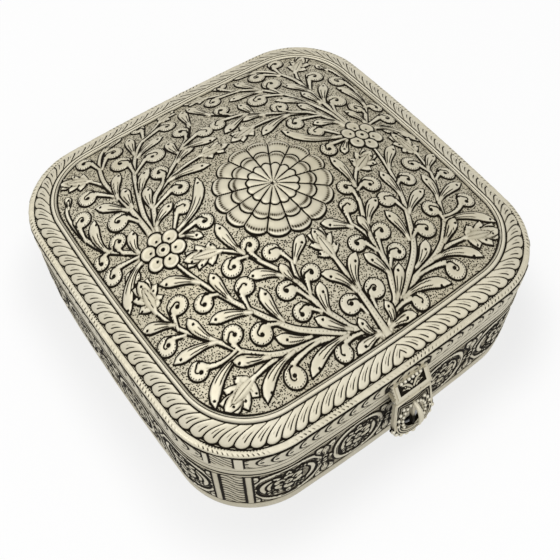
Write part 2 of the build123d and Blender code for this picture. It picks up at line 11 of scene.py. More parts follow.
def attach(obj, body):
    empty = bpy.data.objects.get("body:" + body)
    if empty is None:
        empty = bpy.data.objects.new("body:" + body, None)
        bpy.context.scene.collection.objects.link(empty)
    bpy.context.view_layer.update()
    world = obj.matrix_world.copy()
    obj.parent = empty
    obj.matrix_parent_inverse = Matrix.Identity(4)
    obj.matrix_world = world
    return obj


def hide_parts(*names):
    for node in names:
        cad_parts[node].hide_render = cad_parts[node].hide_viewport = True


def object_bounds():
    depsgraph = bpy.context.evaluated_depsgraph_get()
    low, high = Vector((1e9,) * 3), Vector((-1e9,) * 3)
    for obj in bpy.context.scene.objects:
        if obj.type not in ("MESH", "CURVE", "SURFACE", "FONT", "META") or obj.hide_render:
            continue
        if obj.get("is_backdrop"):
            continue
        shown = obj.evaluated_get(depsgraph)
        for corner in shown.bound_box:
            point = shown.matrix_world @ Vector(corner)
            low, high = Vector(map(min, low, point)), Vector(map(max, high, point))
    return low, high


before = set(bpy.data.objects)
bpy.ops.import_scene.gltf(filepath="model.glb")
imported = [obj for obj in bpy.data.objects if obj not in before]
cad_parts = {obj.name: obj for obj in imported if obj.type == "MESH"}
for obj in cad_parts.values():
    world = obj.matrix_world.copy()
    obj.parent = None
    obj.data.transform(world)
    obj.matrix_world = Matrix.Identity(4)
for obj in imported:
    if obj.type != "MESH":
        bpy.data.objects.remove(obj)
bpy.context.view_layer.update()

# A square chased silver box, seen from above its front left corner.
# Pattern and sizes are in millimetres and become metres where a mesh is written.

MILLIMETRE = 0.001

# Plan: half width, angle that half a bowed side turns through, and radius of the corners
SIDE = 101.3
SIDE_TURN = radians(2.74)
CORNER = 41.5
CORNER_EASE = 0.3    # share of an inset that the corners of the border leave out
SHEET = 1.2
WALL_SHEET = 1.5

# Heights, from the foot up
FOOT_TOP = 6.2
WALL_TOP = 46.2
WALL_MIDDLE = (FOOT_TOP + WALL_TOP) / 2
SEAM = 50.2
SKIRT_FOOT = 53.7
SKIRT_TOP = 65.5
RIM_TOP = 66.9
PANEL_FOOT = 71.9

# Lid, inward from its rim
RIM_WIDTH = 5.0
BORDER_FOOT = 3.2
BORDER_WIDTH = 8.2
BORDER_RISE = 5.0
LOBES = 106
MOULDING_RISE = 1.7
PANEL_SIDE = 86.9
DOME_RISE = 21.1
DOME_REACH = PANEL_SIDE + 0.4

# Rows of a ring's profile that are chased, and masks that its finish reads
BORDER_ROWS = 27
SKIRT_ROWS = 28
WALL_ROWS = 58
MASKS = ("dark", "ground", "worn")

# Laid foliage: its height, and the punches for eyes and dots
LEAF_RISE = 0.9
COIL_EYE = 0.95
SMALL_EYE = 0.5
BUD_EYE = 0.62
LEAF_EYE = 0.55
PUNCH = 0.22
FINE_PUNCH = 0.2


def ease(value):
    """Smooth step from 0 to 1."""
    value = clip(value, 0, 1)
    return value * value * (3 - 2 * value)


def between(value, low, high, soft, soft_high=None):
    """Soft-edged band, 1 between two values and 0 outside them."""
    return ease((value - low) / soft) * ease((high - value) / (soft_high or soft))


def mark(distance, width):
    """Soft line of a width, 1 on it and 0 away from it."""
    return exp(-((distance / width) ** 2))


def strokes(value, pitch, width):
    """Soft lines at even spaces."""
    return mark((value / pitch % 1 - 0.5) * pitch, width)


def rounded(depth):
    """Quarter round: 0 at an edge and 1 from one unit inside it."""
    return sqrt(1 - (1 - clip(depth, 0, 1)) ** 2)


def lobe_end(across):
    """How far a round end falls back, from its middle to its sides."""
    return 1 - sqrt(1 - clip(across, 0, 1) ** 2 * 0.98)


def strongest(*masks):
    """Highest of several masks at each place."""
    return reduce(maximum, masks)


def over(share, below, above):
    """Mix of two things, the upper one where the share is 1."""
    return below * (1 - share) + share * above


def polar(centre, wide, turn, tall=None):
    """Points round a centre; an oval is given a height too."""
    tall = wide if tall is None else tall
    return stack([centre[0] + wide * cos(turn), centre[1] + tall * sin(turn)], -1)


# ---- Plan outlines ----

def side_bow(side, corner):
    """Radius of a bowed side."""
    return (side - corner) / (1 - cos(SIDE_TURN) + sin(SIDE_TURN)) + corner


def outline(turn, side, corner):
    """Point of a plan outline where it faces a direction."""
    quarter = np.round(turn / (pi / 2))
    local = turn - quarter * (pi / 2)
    bow = side_bow(side, corner)
    middle = (bow - corner) * sin(SIDE_TURN)
    flat = abs(local) <= SIDE_TURN
    x = where(flat, side - bow + bow * cos(local), middle + corner * cos(local))
    y = where(flat, bow * sin(local), sign(local) * middle + corner * sin(local))
    c, s = cos(quarter * pi / 2), sin(quarter * pi / 2)
    return x * c - y * s, x * s + y * c


def side_lengths(side, corner):
    """Half length of a side arc and of a corner arc."""
    return side_bow(side, corner) * SIDE_TURN, corner * (pi / 4 - SIDE_TURN)


def turn_on_side(run, flat, corner):
    """Direction that a side faces, a run away from its middle."""
    beyond = abs(run) - flat
    return where(beyond <= 0, run / maximum(flat, 1e-9) * SIDE_TURN, sign(run) * (SIDE_TURN + beyond / corner))


def turn_at(run, side, corner):
    """Direction that an outline faces, a run away from the middle of the front, towards the right."""
    flat, round_part = side_lengths(side, corner)
    quarter_run = 2 * (flat + round_part)
    quarter = np.round(run / quarter_run)
    return -pi / 2 + quarter * (pi / 2) + turn_on_side(run - quarter * quarter_run, flat, corner)


QUARTER_RUN = 2 * sum(side_lengths(SIDE, CORNER))


def corner_run(run):
    """Distance along the wall from the middle of the nearest corner."""
    return (run + QUARTER_RUN * 4) % QUARTER_RUN - QUARTER_RUN / 2


def side_run(run):
    """Distance along the wall from the middle of the nearest side."""
    return (run + QUARTER_RUN * 4.5) % QUARTER_RUN - QUARTER_RUN / 2


# ---- Chased pattern ----

def smooth_line(points, steps=6):
    """Smooth curve through a few points."""
    p = array(points, float)
    p = np.vstack([2 * p[0] - p[1], p, 2 * p[-1] - p[-2]])
    t = linspace(0, 1, steps, endpoint=False)[:, None]
    arcs = [b + (c - a) / 2 * t + (a - 2.5 * b + 2 * c - d / 2) * t**2
            + (1.5 * b - a / 2 - 1.5 * c + d / 2) * t**3
            for a, b, c, d in zip(p[:-3], p[1:-2], p[2:-1], p[3:])]
    return np.vstack(arcs + [p[-2:-1]])


def arch(start, via, end, steps=9):
    """Curve from a start to an end, drawn towards a third point."""
    t = linspace(0, 1, steps)[:, None]
    start, via, end = (array(point, float) for point in (start, via, end))
    return start * (1 - t) ** 2 + via * 2 * t * (1 - t) + end * t**2


class Chasing:
    """Relief over a flat pattern: rise of the metal, dark oxide and stippled ground."""

    def __init__(self, x, y, outline=0.38):
        self.x, self.y = x.ravel(), y.ravel()
        self.outline = outline
        self.shape = x.shape
        self.rise, self.dark, self.tone = (np.zeros(x.size) for _ in range(3))
        self.ground = np.ones(x.size)

    def near(self, points, margin):
        """Places in the box round some points."""
        low, high = points.min(0) - margin, points.max(0) + margin
        x, y = self.x, self.y
        return np.nonzero((x > low[0]) & (x < high[0]) & (y > low[1]) & (y < high[1]))[0]

    def about(self, centre, reach):
        """Places near a point, and how far each is from it."""
        centre = array(centre, float)
        at = self.near(centre[None], reach)
        return at, hypot(self.x[at] - centre[0], self.y[at] - centre[1])

    def along(self, line, margin, at=None):
        """Places near a line, how far each is from it, and how far along it from 0 to 1."""
        at = self.near(line, margin) if at is None else at
        start, step = line[:-1], np.diff(line, axis=0)
        length = maximum(hypot(step[:, 0], step[:, 1]), 1e-6)
        px = self.x[at][:, None] - start[:, 0]
        py = self.y[at][:, None] - start[:, 1]
        t = clip((px * step[:, 0] + py * step[:, 1]) / length**2, 0, 1)
        gap = (px - t * step[:, 0]) ** 2 + (py - t * step[:, 1]) ** 2
        best = gap.argmin(1)
        row = arange(len(best))
        before = np.concatenate([[0], np.cumsum(length)])
        return at, sqrt(gap[row, best]), (before[best] + t[row, best] * length[best]) / before[-1]

    def darken(self, at, amount):
        self.dark[at] = maximum(self.dark[at], amount)

    def lay(self, at, depth, height, shoulder=1.1, line=1.0, join=0.0):
        """Raise a form whose edge lies at depth 0, with a dark line round it."""
        cover = clip(depth / 0.25 + 0.5, 0, 1)
        self.tone[at] = where(cover > 0.5, 0.42 * exp(-clip(depth, 0, 9) / 0.8), self.tone[at])
        form = height * (0.62 * rounded(depth / 0.6) + 0.38 * rounded(depth / (2 * shoulder))) * cover
        old = self.rise[at]
        self.rise[at] = (1 - join) * (old * (1 - cover) + form) + join * maximum(old, form)
        self.dark[at] *= 1 - cover
        self.ground[at] *= 1 - cover
        self.darken(at, mark(depth + 0.1, self.outline) * line)

    def cut(self, at, distance, width, strength, depth=0.3):
        """Engrave a line."""
        line = mark(distance, width) * strength
        self.rise[at] -= depth * line
        self.darken(at, line)

    def dot(self, point, radius, depth=0.45):
        """Punch a round hole."""
        at, gap = self.about(point, radius * 2)
        hole = ease((radius * 1.25 - gap) / (radius * 0.5))
        self.rise[at] -= depth * hole
        self.darken(at, hole)

    def disc(self, centre, radius, height, hollow=0.0):
        """Round form; a hollow one keeps a raised rim."""
        at, gap = self.about(centre, radius + 1)
        self.lay(at, radius - gap, height, 1.2)
        self.rise[at] -= hollow * ease((radius * 0.72 - gap) / (radius * 0.3))

    def frond(self, line, widths, join, fade=0.16, crease=0.0, height=LEAF_RISE):
        """A stem or leaf along a line, joined to what carries it at its start."""
        at, gap, place = self.along(line, max(widths) + 1)
        half = interp(place, linspace(0, 1, len(widths)), widths)
        edge = clip((place - 0.04) / fade, 0, 1)
        self.lay(at, half - gap, height, 1.25, edge, clip(1 - place / join, 0, 1))
        if crease:
            self.cut(at, gap, 0.24, between(place, 0, 0.7, 0.12, 0.15) * crease, 0.25)

    def bud(self, base, tip, way, dot=None, via=None):
        """A spoon-shaped leaf that springs from a stem, with a pierced dot near its tip."""
        base, tip = array(base, float), array(tip, float)
        length = hypot(*(tip - base))
        line = arch(base, base + way * 0.5 * length if via is None else via, tip)
        size = clip(length / 12.5, 0.75, 1.1)
        self.frond(line, array([0.8, 0.95, 1.2, 1.6, 2.0, 2.3, 2.4, 1.8, 0.15]) * size, 0.26)
        at, gap, place = self.along(line, 2)
        belly = interp(place, [0, 0.25, 0.6, 0.8], [0.1, 0.45, 1.05, 0.5]) * size
        self.cut(at, gap - belly, 0.26, between(place, 0.1, 0.68, 0.15, 0.1) * 0.85, 0.22)
        if dot is not None:
            self.dot(dot, BUD_EYE)

    def scroll(self, way, base, centre, radius, eye=None, via=None):
        """A tendril that runs into a coiled disc with a pierced eye."""
        base, centre = array(base, float), array(centre, float)
        out = base - centre
        radius = radius + 0.15
        band = radius - 1.35
        reach = max(hypot(*out), radius + 0.2)
        hand = 1 if way[0] * -out[1] + way[1] * out[0] >= 0 else -1
        touch = np.arctan2(out[1], out[0]) + hand * np.arccos(min(band / reach, 1))
        meet = polar(centre, band, touch)
        flow = hand * array([-sin(touch), cos(touch)])
        if via is None:
            via = meet - flow * hypot(*(meet - base)) * 0.55
        line = np.vstack([arch(base, via, meet), meet + flow * 0.8])

        # Tendril and coil flow into each other
        at = self.near(np.vstack([line, centre - radius, centre + radius]), 1.5)
        at, gap, place = self.along(line, 0, at)
        body = interp(place, [0, 0.3, 0.75, 1], [0.75, 0.95, 1.4, 1.4]) - gap
        coil = radius - hypot(self.x[at] - centre[0], self.y[at] - centre[1])
        share = clip(0.5 + (body - coil) / 1.8, 0, 1)
        depth = over(share, coil, body) + 0.9 * share * (1 - share)
        root = where(body > coil - 1, place, 1)
        self.lay(at, depth, LEAF_RISE, 1.2, clip((root - 0.04) / 0.16, 0, 1), clip(1 - root / 0.24, 0, 1))

        # Groove that winds in to the eye
        turns = linspace(-0.5, 3.1, 20)
        coil = radius - 2.6 * ease(turns + 0.5) - (radius - 3.3) * clip(turns / 3.1, 0, 1) ** 1.2
        groove = polar(centre, coil, touch + hand * turns)
        at, gap, place = self.along(groove, 0, self.near(centre[None], radius + 1))
        self.cut(at, gap, interp(place, [0, 0.3, 1], [0.5, 0.42, 0.28]), 1, 0.4)

        # Punched dots beside the tendril and round the coil
        for k in linspace(0.35, 0.95, 5) * (len(line) - 2):
            here, after = line[int(k)], line[int(k) + 1]
            side = array([after[1] - here[1], here[0] - after[0]]) * hand
            self.dot(here + (k % 1) * (after - here) + side / hypot(*side) * 0.75, FINE_PUNCH, 0.12)
        for turn in arange(0.15, 4.9, 1.25 / (radius - 0.9)):
            self.dot(polar(centre, radius - 0.85, touch + hand * turn), PUNCH, 0.15)
        if eye is None:
            self.dot(groove[-3], SMALL_EYE)
        else:
            self.dot(array(eye, float) * 0.6 + groove[-3] * 0.4, COIL_EYE)

    def leaf(self, base, tip, lobes, dots):
        """A jagged leaf of pointed lobes on a midrib."""
        base, tip = array(base, float), array(tip, float)
        way = (tip - base) / hypot(*(tip - base))
        size = hypot(*(tip - base)) / 15
        across = array([-way[1], way[0]])
        pairs = [(2.5, 76, 5.8), (6.5, 48, 6.8)]
        if lobes == 7:
            pairs = [(2.6, 82, 5.6), (5.6, 58, 6.8), (9.0, 38, 6.0)]
        for rise, angle, length in pairs + [(9.0, 0, 6.2)]:
            for hand in (-1, 1) if angle else (1,):
                lean = way * cos(radians(angle)) + across * hand * sin(radians(angle))
                start = base + way * rise * size - lean * 1.5 * size
                end = base + way * rise * size + lean * length * size
                line = arch(start, (start + end) / 2 + way * 0.9 * size, end)
                self.frond(line, array([1.9, 2.5, 2.5, 1.8, 0.1]) * size, 0.5, 0.45, 0.75)
        self.frond(arch(base - way * 1.5, base, base + way * 10 * size), [0.9, 1.7, 2.6, 2.2, 1.2], 0.9, 4)
        at, gap, place = self.along(arch(base, base + way * 5 * size, base + way * 11 * size), 1.5)
        self.cut(at, gap, 0.22, between(place, 0, 1, 0.15) * 0.7, 0.25)
        for place in dots:
            self.dot(place, LEAF_EYE)

    def flower(self, centre, ring, petal, count, eye, first=90, pierced=0.16):
        """Cupped petals round a disc, each with a pierced dot."""
        turns = radians(first) + 2 * pi * arange(count) / count
        for middle in polar(centre, ring, turns):
            self.disc(middle, petal, 1.0, 0.3)
        for hole in polar(centre, ring - petal * 0.3, turns):
            self.dot(hole, petal * pierced)
        self.disc(centre, eye, 1.15)
        at, gap = self.about(centre, eye)
        self.cut(at, gap - eye * 0.62, 0.2, 0.45, 0.15)
        self.dot(centre, eye * 0.26)

    def finish(self):
        """The pattern as grids: rise, dark lines, ground and worn high edges."""
        rise = self.rise.reshape(self.shape)
        proud = rise - blurred(blurred(rise, 3), 3)
        dark = maximum(self.dark, self.tone).reshape(self.shape)
        dark = clip(dark + clip(-proud - 0.08, 0, 0.5) * 0.9, 0, 1)
        return rise, dark, self.ground.reshape(self.shape), clip(proud * 2.2, 0, 1)


def blurred(grid, reach):
    """Box blur of a grid, the same size."""
    wide = 2 * reach + 1
    for axis in (0, 1):
        padded = np.pad(grid, [(reach + 1, reach) if a == axis else (0, 0) for a in (0, 1)], mode="edge")
        total = np.cumsum(padded, axis)
        n = grid.shape[axis]
        grid = (np.take(total, arange(wide, wide + n), axis) - np.take(total, arange(n), axis)) / wide
    return grid


# ---- Meshes ----

def open_edges(bm):
    return [edge for edge in bm.edges if edge.is_boundary]


def join_seam(bm):
    """Merge the two ends of a grid that meets itself."""
    bmesh.ops.remove_doubles(bm, verts=[vert for vert in bm.verts if vert.is_boundary], dist=1e-7)


def as_mesh(name, bm):
    """Mesh made from a bmesh, which is used up."""
    mesh = bpy.data.meshes.new(name)
    bm.to_mesh(mesh)
    bm.free()
    return mesh


def take_in(bm, mesh):
    """Add a mesh, which is used up, to a bmesh."""
    bm.from_mesh(mesh)
    bpy.data.meshes.remove(mesh)


def add_object(name, data):
    made = bpy.data.objects.new(name, data)
    bpy.context.scene.collection.objects.link(made)
    return made


def as_piece(name, bm, body, material, *nodes):
    """Finish a bmesh as a piece that rides on a body and stands for CAD nodes."""
    bmesh.ops.recalc_face_normals(bm, faces=bm.faces)
    mesh = as_mesh(name, bm)
    mesh.shade_smooth()
    mesh.set_sharp_from_angle(angle=radians(55))
    mesh.materials.append(material)
    piece = add_object(name, mesh)
    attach(piece, body)
    if nodes:
        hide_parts(*nodes)


def relief_grid(columns, rows, shape):
    """Grid of quads whose points and masks come from a function of their column and row, 0 to 1."""
    bm = bmesh.new()
    bmesh.ops.create_grid(bm, x_segments=columns, y_segments=rows, size=0.5)
    mesh = as_mesh("relief", bm)
    flat = np.empty(len(mesh.vertices) * 3)
    mesh.vertices.foreach_get("co", flat)
    flat = flat.reshape(-1, 3)
    column = np.round((flat[:, 0] + 0.5) * columns).astype(int)
    row = np.round((flat[:, 1] + 0.5) * rows).astype(int)
    u, v = np.meshgrid(arange(columns + 1) / columns, arange(rows + 1) / rows, indexing="ij")
    points, *masks = shape(u, v)
    mesh.vertices.foreach_set("co", (points[column, row] * MILLIMETRE).ravel())
    for key, mask in zip(MASKS, masks):
        layer = mesh.attributes.new(key, "FLOAT", "POINT")
        layer.data.foreach_set("value", np.broadcast_to(mask, u.shape)[column, row].astype(np.float32))
    bm = bmesh.new()
    take_in(bm, mesh)
    return bm


def closed_ring(name, columns, profile, pattern, body, node, rows=None, side=SIDE, corner=CORNER, relax=0.0):
    """Ring round the box. Its profile is a closed loop of (inset, height) points, the chased rows first."""
    profile = array(profile, float)
    rows = rows or len(profile)
    around = 8 * sum(side_lengths(side, corner))

    def shape(u, v):
        row = np.round(v * len(profile)).astype(int) % len(profile)
        inset, height = profile[row, 0], profile[row, 1]
        run = (u % 1 - 0.5) * around
        rise, *masks = (value * (row < rows) for value in pattern(run, inset, height))
        lean = np.roll(profile, -1, 0) - np.roll(profile, 1, 0)
        lean /= hypot(lean[:, 0], lean[:, 1])[:, None]
        inset = inset - rise * abs(lean[row, 1])
        height = height + rise * abs(lean[row, 0])
        x, y = outline(turn_at(run, side, corner), SIDE - inset, CORNER - inset * (1 - relax))
        return stack([x, y, height], -1), *masks

    bm = relief_grid(columns, len(profile), shape)
    join_seam(bm)
    as_piece(name, bm, body, chased_silver, node)


# ---- Domed panel ----

FLOWER = (-58.5, 5)

# Stems of the left half, each from its root, with half widths at its two ends
STEMS = [
    (2.6, 1.2, [(0, -86), (0, -76), (0, -66), (0, -55), (0, -45)]),
    (2.4, 0.9, [(-1, -85), (-12, -76), (-15, -70), (-18, -63), (-20, -55), (-20.5, -48), (-24, -38),
                (-28, -30), (-31, -23), (-36, -17), (-40, -13)]),
    (1.3, 0.8, [(-20, -49), (-19.5, -44), (-17.5, -38)]),
    (2.6, 0.9, [(-2, -84), (-12, -78), (-20, -73), (-30, -66), (-36, -60), (-42, -50), (-48, -38),
                (-52, -28), (-55, -18), (-57, -9), (-58, -2)]),
    (2.6, 0.9, [(-4, -83), (-15, -77), (-25, -73), (-40, -69.5), (-48, -66), (-52, -63), (-58, -57),
                (-62, -50), (-67, -42), (-73, -32), (-75.5, -24), (-77, -16)]),
    (1.5, 1.0, [(-40, -69.5), (-50, -68), (-61, -69)]),
    (2.0, 1.0, [(-58.5, 12), (-58, 30), (-58, 45), (-59, 58), (-57, 68), (-53, 77), (-47, 83.5),
                (-38, 86)]),
    (1.8, 0.9, [(-57, 16), (-55, 28), (-50, 42), (-45, 54), (-38, 65), (-30, 73), (-22, 77), (-14, 82)]),
    (1.8, 1.0, [(-56, 14), (-48, 30), (-40, 36), (-27, 44), (-20, 50), (-12, 57), (-6, 66), (-3, 74)]),
    (1.3, 0.9, [(-46, 32), (-35, 36.5), (-25, 38.5), (-15, 38.5)]),
    (1.5, 1.0, [(-66, 11), (-72, 18), (-78, 26), (-82, 38), (-83, 50), (-82, 58), (-79, 63)]),
    (1.2, 0.9, [(-59, 56), (-61, 62), (-64, 68)]),
]

# Spoon-shaped leaves: base and tip, then the dot and a point that a curved one is drawn towards
BUDS = [
    (-3.5, -84, -7.5, -73.5, -7.5, -76.5), (-1, -64, -10, -49.5, -7, -53, -2, -54),
    (-17, -66, -12.5, -52, -14, -56.5, -17, -60), (-13, -76, -24, -63.5, -21.5, -66, -18, -72),
    (-21, -47, -22, -35.5), (-16.5, -39, -5, -30, -8, -33, -12, -34),
    (-24.5, -41, -37, -32, -35, -33, -28, -35), (-32, -22, -33, -1, -33.2, -4.5, -35, -12),
    (-36, -57, -35.5, -39.5, -35.5, -43, -38, -48), (-48.5, -36, -49, -19.5, -49, -22.5, -50, -28),
    (-55, -20, -69, -7.5, -66.5, -10, -60, -12), (-45, -46, -62, -38, -59, -38.5, -54, -38.5),
    (-30, -69, -43, -60.5, -39.5, -64.5, -38, -67), (-64, -46, -68, -29.5, -67.7, -33.5, -69, -39),
    (-74, -28, -86.5, -19.5, -84.5, -21, -80, -22), (-64, -47, -84, -42, -80.5, -42.5, -73, -42),
    (-58, -57, -81, -70, -79.5, -67, -76, -58), (-50, -66, -64, -58, -62, -60.5, -58, -62),
    (-40, -70, -62, -81, -58, -78.5, -56, -70), (-16, -77, -40, -83, -35, -81.5, -31, -75),
    (-3, -84, -17, -85.5, -12, -84.7, -9, -83), (-59, 36, -70, 50, -68, 48.5, -64, 45),
    (-59, 46, -50, 60, -51.5, 58.8, -56, 57), (-56.5, 36, -53.8, 49.5, -54, 46.8, -56, 44),
    (-38, 66, -33, 82, -34, 79.5, -36, 75), (-38, 63, -20.5, 67.5, -23.5, 67.5, -30, 68),
    (-50, 38, -38, 50.5, -41.5, 50, -46, 48), (-50, 28, -45, 41, -45.7, 38.8, -49, 36),
    (-22, 47.5, -21.5, 61, -22, 58.8, -23.5, 54), (-26, 43.5, -13.5, 47.7, -15, 47, -19, 48),
    (-54, 18, -41.5, 23, -44, 22.7, -49, 22.5), (-36, 35.8, -15.5, 30, -19, 31.8, -26, 36),
    (-49, 8.5, -25, 27.5, -26.5, 24, -30, 11), (-49, 5, -41, -2.5, -43, 0, -45, 3),
    (-77.5, 24, -73.8, 44.5, -74.5, 41.5, -81, 36), (-67, 12, -63.5, 25, -64, 22.8, -69, 18),
    (-67, 8, -87, -9, -86, -6.5, -80, 7), (-80, 60, -77, 67, -77.5, 64.5),
    (-47, 82, -34.5, 87.5, -36, 87, -41, 86), (-6, 64, -1.5, 81, -2, 78.5, -4, 74),
    (-20, 50, -2.5, 44, -6, 44.5, -10, 48),
]

# Coiled tendrils: base, middle of the coil and its radius, then its eye and a point that it is drawn towards
SCROLLS = [
    ((-2.5, -74), (-7, -67), 4.5, (-5.5, -67.5)), ((-19, -54), (-13, -46.5), 4.0, (-13.5, -47)),
    ((-20.5, -56), (-27, -47), 4.3, (-26.5, -47.5)), ((-19.5, -63), (-27, -58.5), 4.0, (-27.5, -60)),
    ((-17, -38), (-22, -29), 4.0), ((-28, -29), (-27.5, -20), 4.0, (-28, -21)),
    ((-31.5, -24), (-40, -24), 4.5, (-38, -24)), ((-45, -45), (-40.5, -34.5), 4.2),
    ((-51.5, -30), (-59, -29), 4.2, (-58.5, -30)), ((-38, -57), (-47, -56), 4.8, (-46.5, -56.5)),
    ((-58, -58), (-57, -48.5), 4.3, (-56.5, -50)), ((-74, -31), (-68, -21.5), 4.5, (-69.5, -22.5)),
    ((-73, -35), (-82, -33.5), 4.3, (-80, -33)),
    ((-60, -55), (-77.5, -52), 4.3, (-76, -53.5), (-72, -57)),
    ((-28, -72.5), (-46, -79), 4.8, (-45.5, -77), (-42, -72)),
    ((-8, -80), (-22, -82), 4.0, None, (-15, -77.5)), ((-58.5, 26), (-66, 34.5), 5.0, (-65, 34)),
    ((-59, 48), (-70, 58.5), 4.5, (-69, 58)), ((-56, 70), (-60, 81), 4.0, (-59.5, 81)),
    ((-55, 70), (-44.5, 77), 4.5, (-46, 77.5)), ((-45, 54), (-46.5, 66), 5.0, (-46, 65.5)),
    ((-28, 75), (-26, 86), 3.8, (-25, 85)), ((-31, 72.5), (-14, 74), 4.3, (-15, 74)),
    ((-45, 53), (-31, 57), 5.0, (-34, 57.5)), ((-39, 36.5), (-36, 44.5), 4.3, (-36.5, 43.5)),
    ((-14, 55), (-12.5, 63), 4.0, (-12, 62.5)), ((-18, 51.5), (-3.8, 53), 4.0),
    ((-50, 27), (-34, 28), 4.2, (-34.5, 28.5)), ((-49, 10), (-39, 17.5), 4.0),
    ((-49, 6), (-36, 3.5), 4.0, (-37, 4)), ((-82.5, 38), (-78, 49.5), 4.3, (-79, 48.5)),
    ((-72.5, 18), (-71.5, 25.5), 4.0, (-71, 24)), ((-76, 24), (-83, 22.5), 3.6, (-83, 22)),
    ((-68, 11), (-82.5, 12.5), 4.3, (-81.5, 12.5)), ((-68, 7), (-76, 4.5), 3.5),
]

# Jagged leaves: base, tip, number of lobes, dots
LEAVES = [
    ((0, -46), (0, -30), 7, ((0, -32), (-4, -36), (4, -36), (-4.5, -42), (4.5, -42))),
    ((-40, -13.5), (-54.5, -6.5), 7, ((-52, -9.5), (-46, -8), (-41, -8.5), (-49.5, -14), (-44, -17))),
    ((-77, -16), (-75, 1), 7, ((-75.5, -2), (-79.5, -6), (-81.5, -12), (-72.5, -8), (-72.5, -14))),
    ((-61, -69), (-79, -74), 7, ((-67, -64.5), (-71.5, -68.5), (-74.5, -74), (-69, -75), (-63.5, -75))),
    ((-14, 82), (-3, 87), 5, ((-6, 84),)),
    ((-15, 38.5), (-1, 36), 5, ((-4, 37.5), (-9, 34.5))),
    ((-64, 68), (-76, 77), 7, ((-72, 71.5), (-69, 69), (-68, 76))),
]


def growth(point):
    """Direction in which the nearest stem grows."""
    def gap(part):
        a, b = part
        return hypot(*(a + clip(np.dot(point - a, b - a) / np.dot(b - a, b - a), 0, 1) * (b - a) - point))

    a, b = min((part for *_, stem in STEMS for part in zip(array(stem, float), array(stem[1:], float))), key=gap)
    return (b - a) / hypot(*(b - a))


def rosette(work, x, y):
    """Three tiers of fifteen petals each, with a shaded band inside each petal's end."""
    radius = hypot(x, y)
    at = np.nonzero(radius < 32)[0]
    radius, turn = radius[at], np.arctan2(y[at], x[at])
    share = ((turn + pi) / (2 * pi) * 15) % 1
    across = abs(share - 0.5) * 2
    gap = (1 - across) * pi / 15 * radius
    for reach, notch, level, inner in ((28.6, 3.6, 0.85, 20.0), (20.6, 2.9, 1.25, 12.0), (12.6, 2.5, 1.65, 0)):
        depth = reach - notch * lobe_end(across) - radius
        inside = clip(depth / 0.3 + 0.5, 0, 1)
        work.lay(at, depth, level, 0.7)
        crown = minimum(gap / 2.6, 1) ** 0.7 * rounded(depth / 2.2)
        work.rise[at] += inside * (0.35 * crown - 0.12)
        work.tone[at] *= 1 - inside * 0.85
        work.darken(at, mark(depth + 0.05, 0.44))
        work.cut(at, gap, 0.34 * clip(radius / 6, 0.25, 1), inside, 0.35)
        if inner:
            brushed = 0.8 + 0.2 * cos(share * 2 * pi * 9)
            band = mark(depth - 2.4 + 0.8 * across**2, 1.3) * brushed * ease(gap / 0.9) * 0.58
            shade = ease((inner + 2.6 - radius) / 2.2) * ease(gap / 1.2) * 0.2
            work.darken(at, inside * maximum(shade, band))


def panel_pattern(x, y):
    """Chasing of the domed panel; the right half of the foliage repeats the left."""
    work = Chasing(-abs(x), y)
    for wide, narrow, points in STEMS[::-1]:
        line = smooth_line(points)
        work.frond(line, linspace(0.62 * wide + 0.25, 0.7 * narrow + 0.2, 6), 0.04, 0.05)
        at, gap, place = work.along(line, 2)
        length = hypot(*np.diff(line, axis=0).T).sum()
        punch = ((place * length) % 1.7 - 0.85) / 0.34
        fade = ease((0.75 - place) / 0.1) * ease(place * length / 6)
        work.cut(at, hypot(gap / 0.3, punch), 1.0, 0.6 * fade, 0.1)
    for base, *rest in SCROLLS:
        work.scroll(growth(base), base, *rest)
    for row in BUDS:
        base, tip, *rest = np.reshape(row, (-1, 2))
        work.bud(base, tip, growth(base), *rest)
    for row in LEAVES:
        work.leaf(*row)
    work.flower(FLOWER, 7.0, 3.75, 6, 3.5)
    rosette(work, x.ravel(), y.ravel())
    return work


def panel_point(u, v, side, corner):
    """Even spread of a square over a plan outline."""
    ring = maximum(abs(u), abs(v))
    half = side * ring
    curl = maximum(corner * ring * (0.15 + 0.85 * ring**2), 1e-9)
    flat, round_part = side_lengths(half, curl)
    quarter = np.round(np.arctan2(v, u) / (pi / 2)) * (pi / 2)
    aside = v * np.round(cos(quarter)) - u * np.round(sin(quarter))
    run = clip(aside / maximum(ring, 1e-9), -1, 1) * (flat + round_part)
    return outline(turn_on_side(run, flat, curl) + quarter, half, curl)


def dome_height(x, y, side, rise):
    """Height of the dome's curve, which runs out level at a distance from the middle."""
    return PANEL_FOOT + rise * clip(1 - (x / side) ** 2, 0, 1) * clip(1 - (y / side) ** 2, 0, 1)


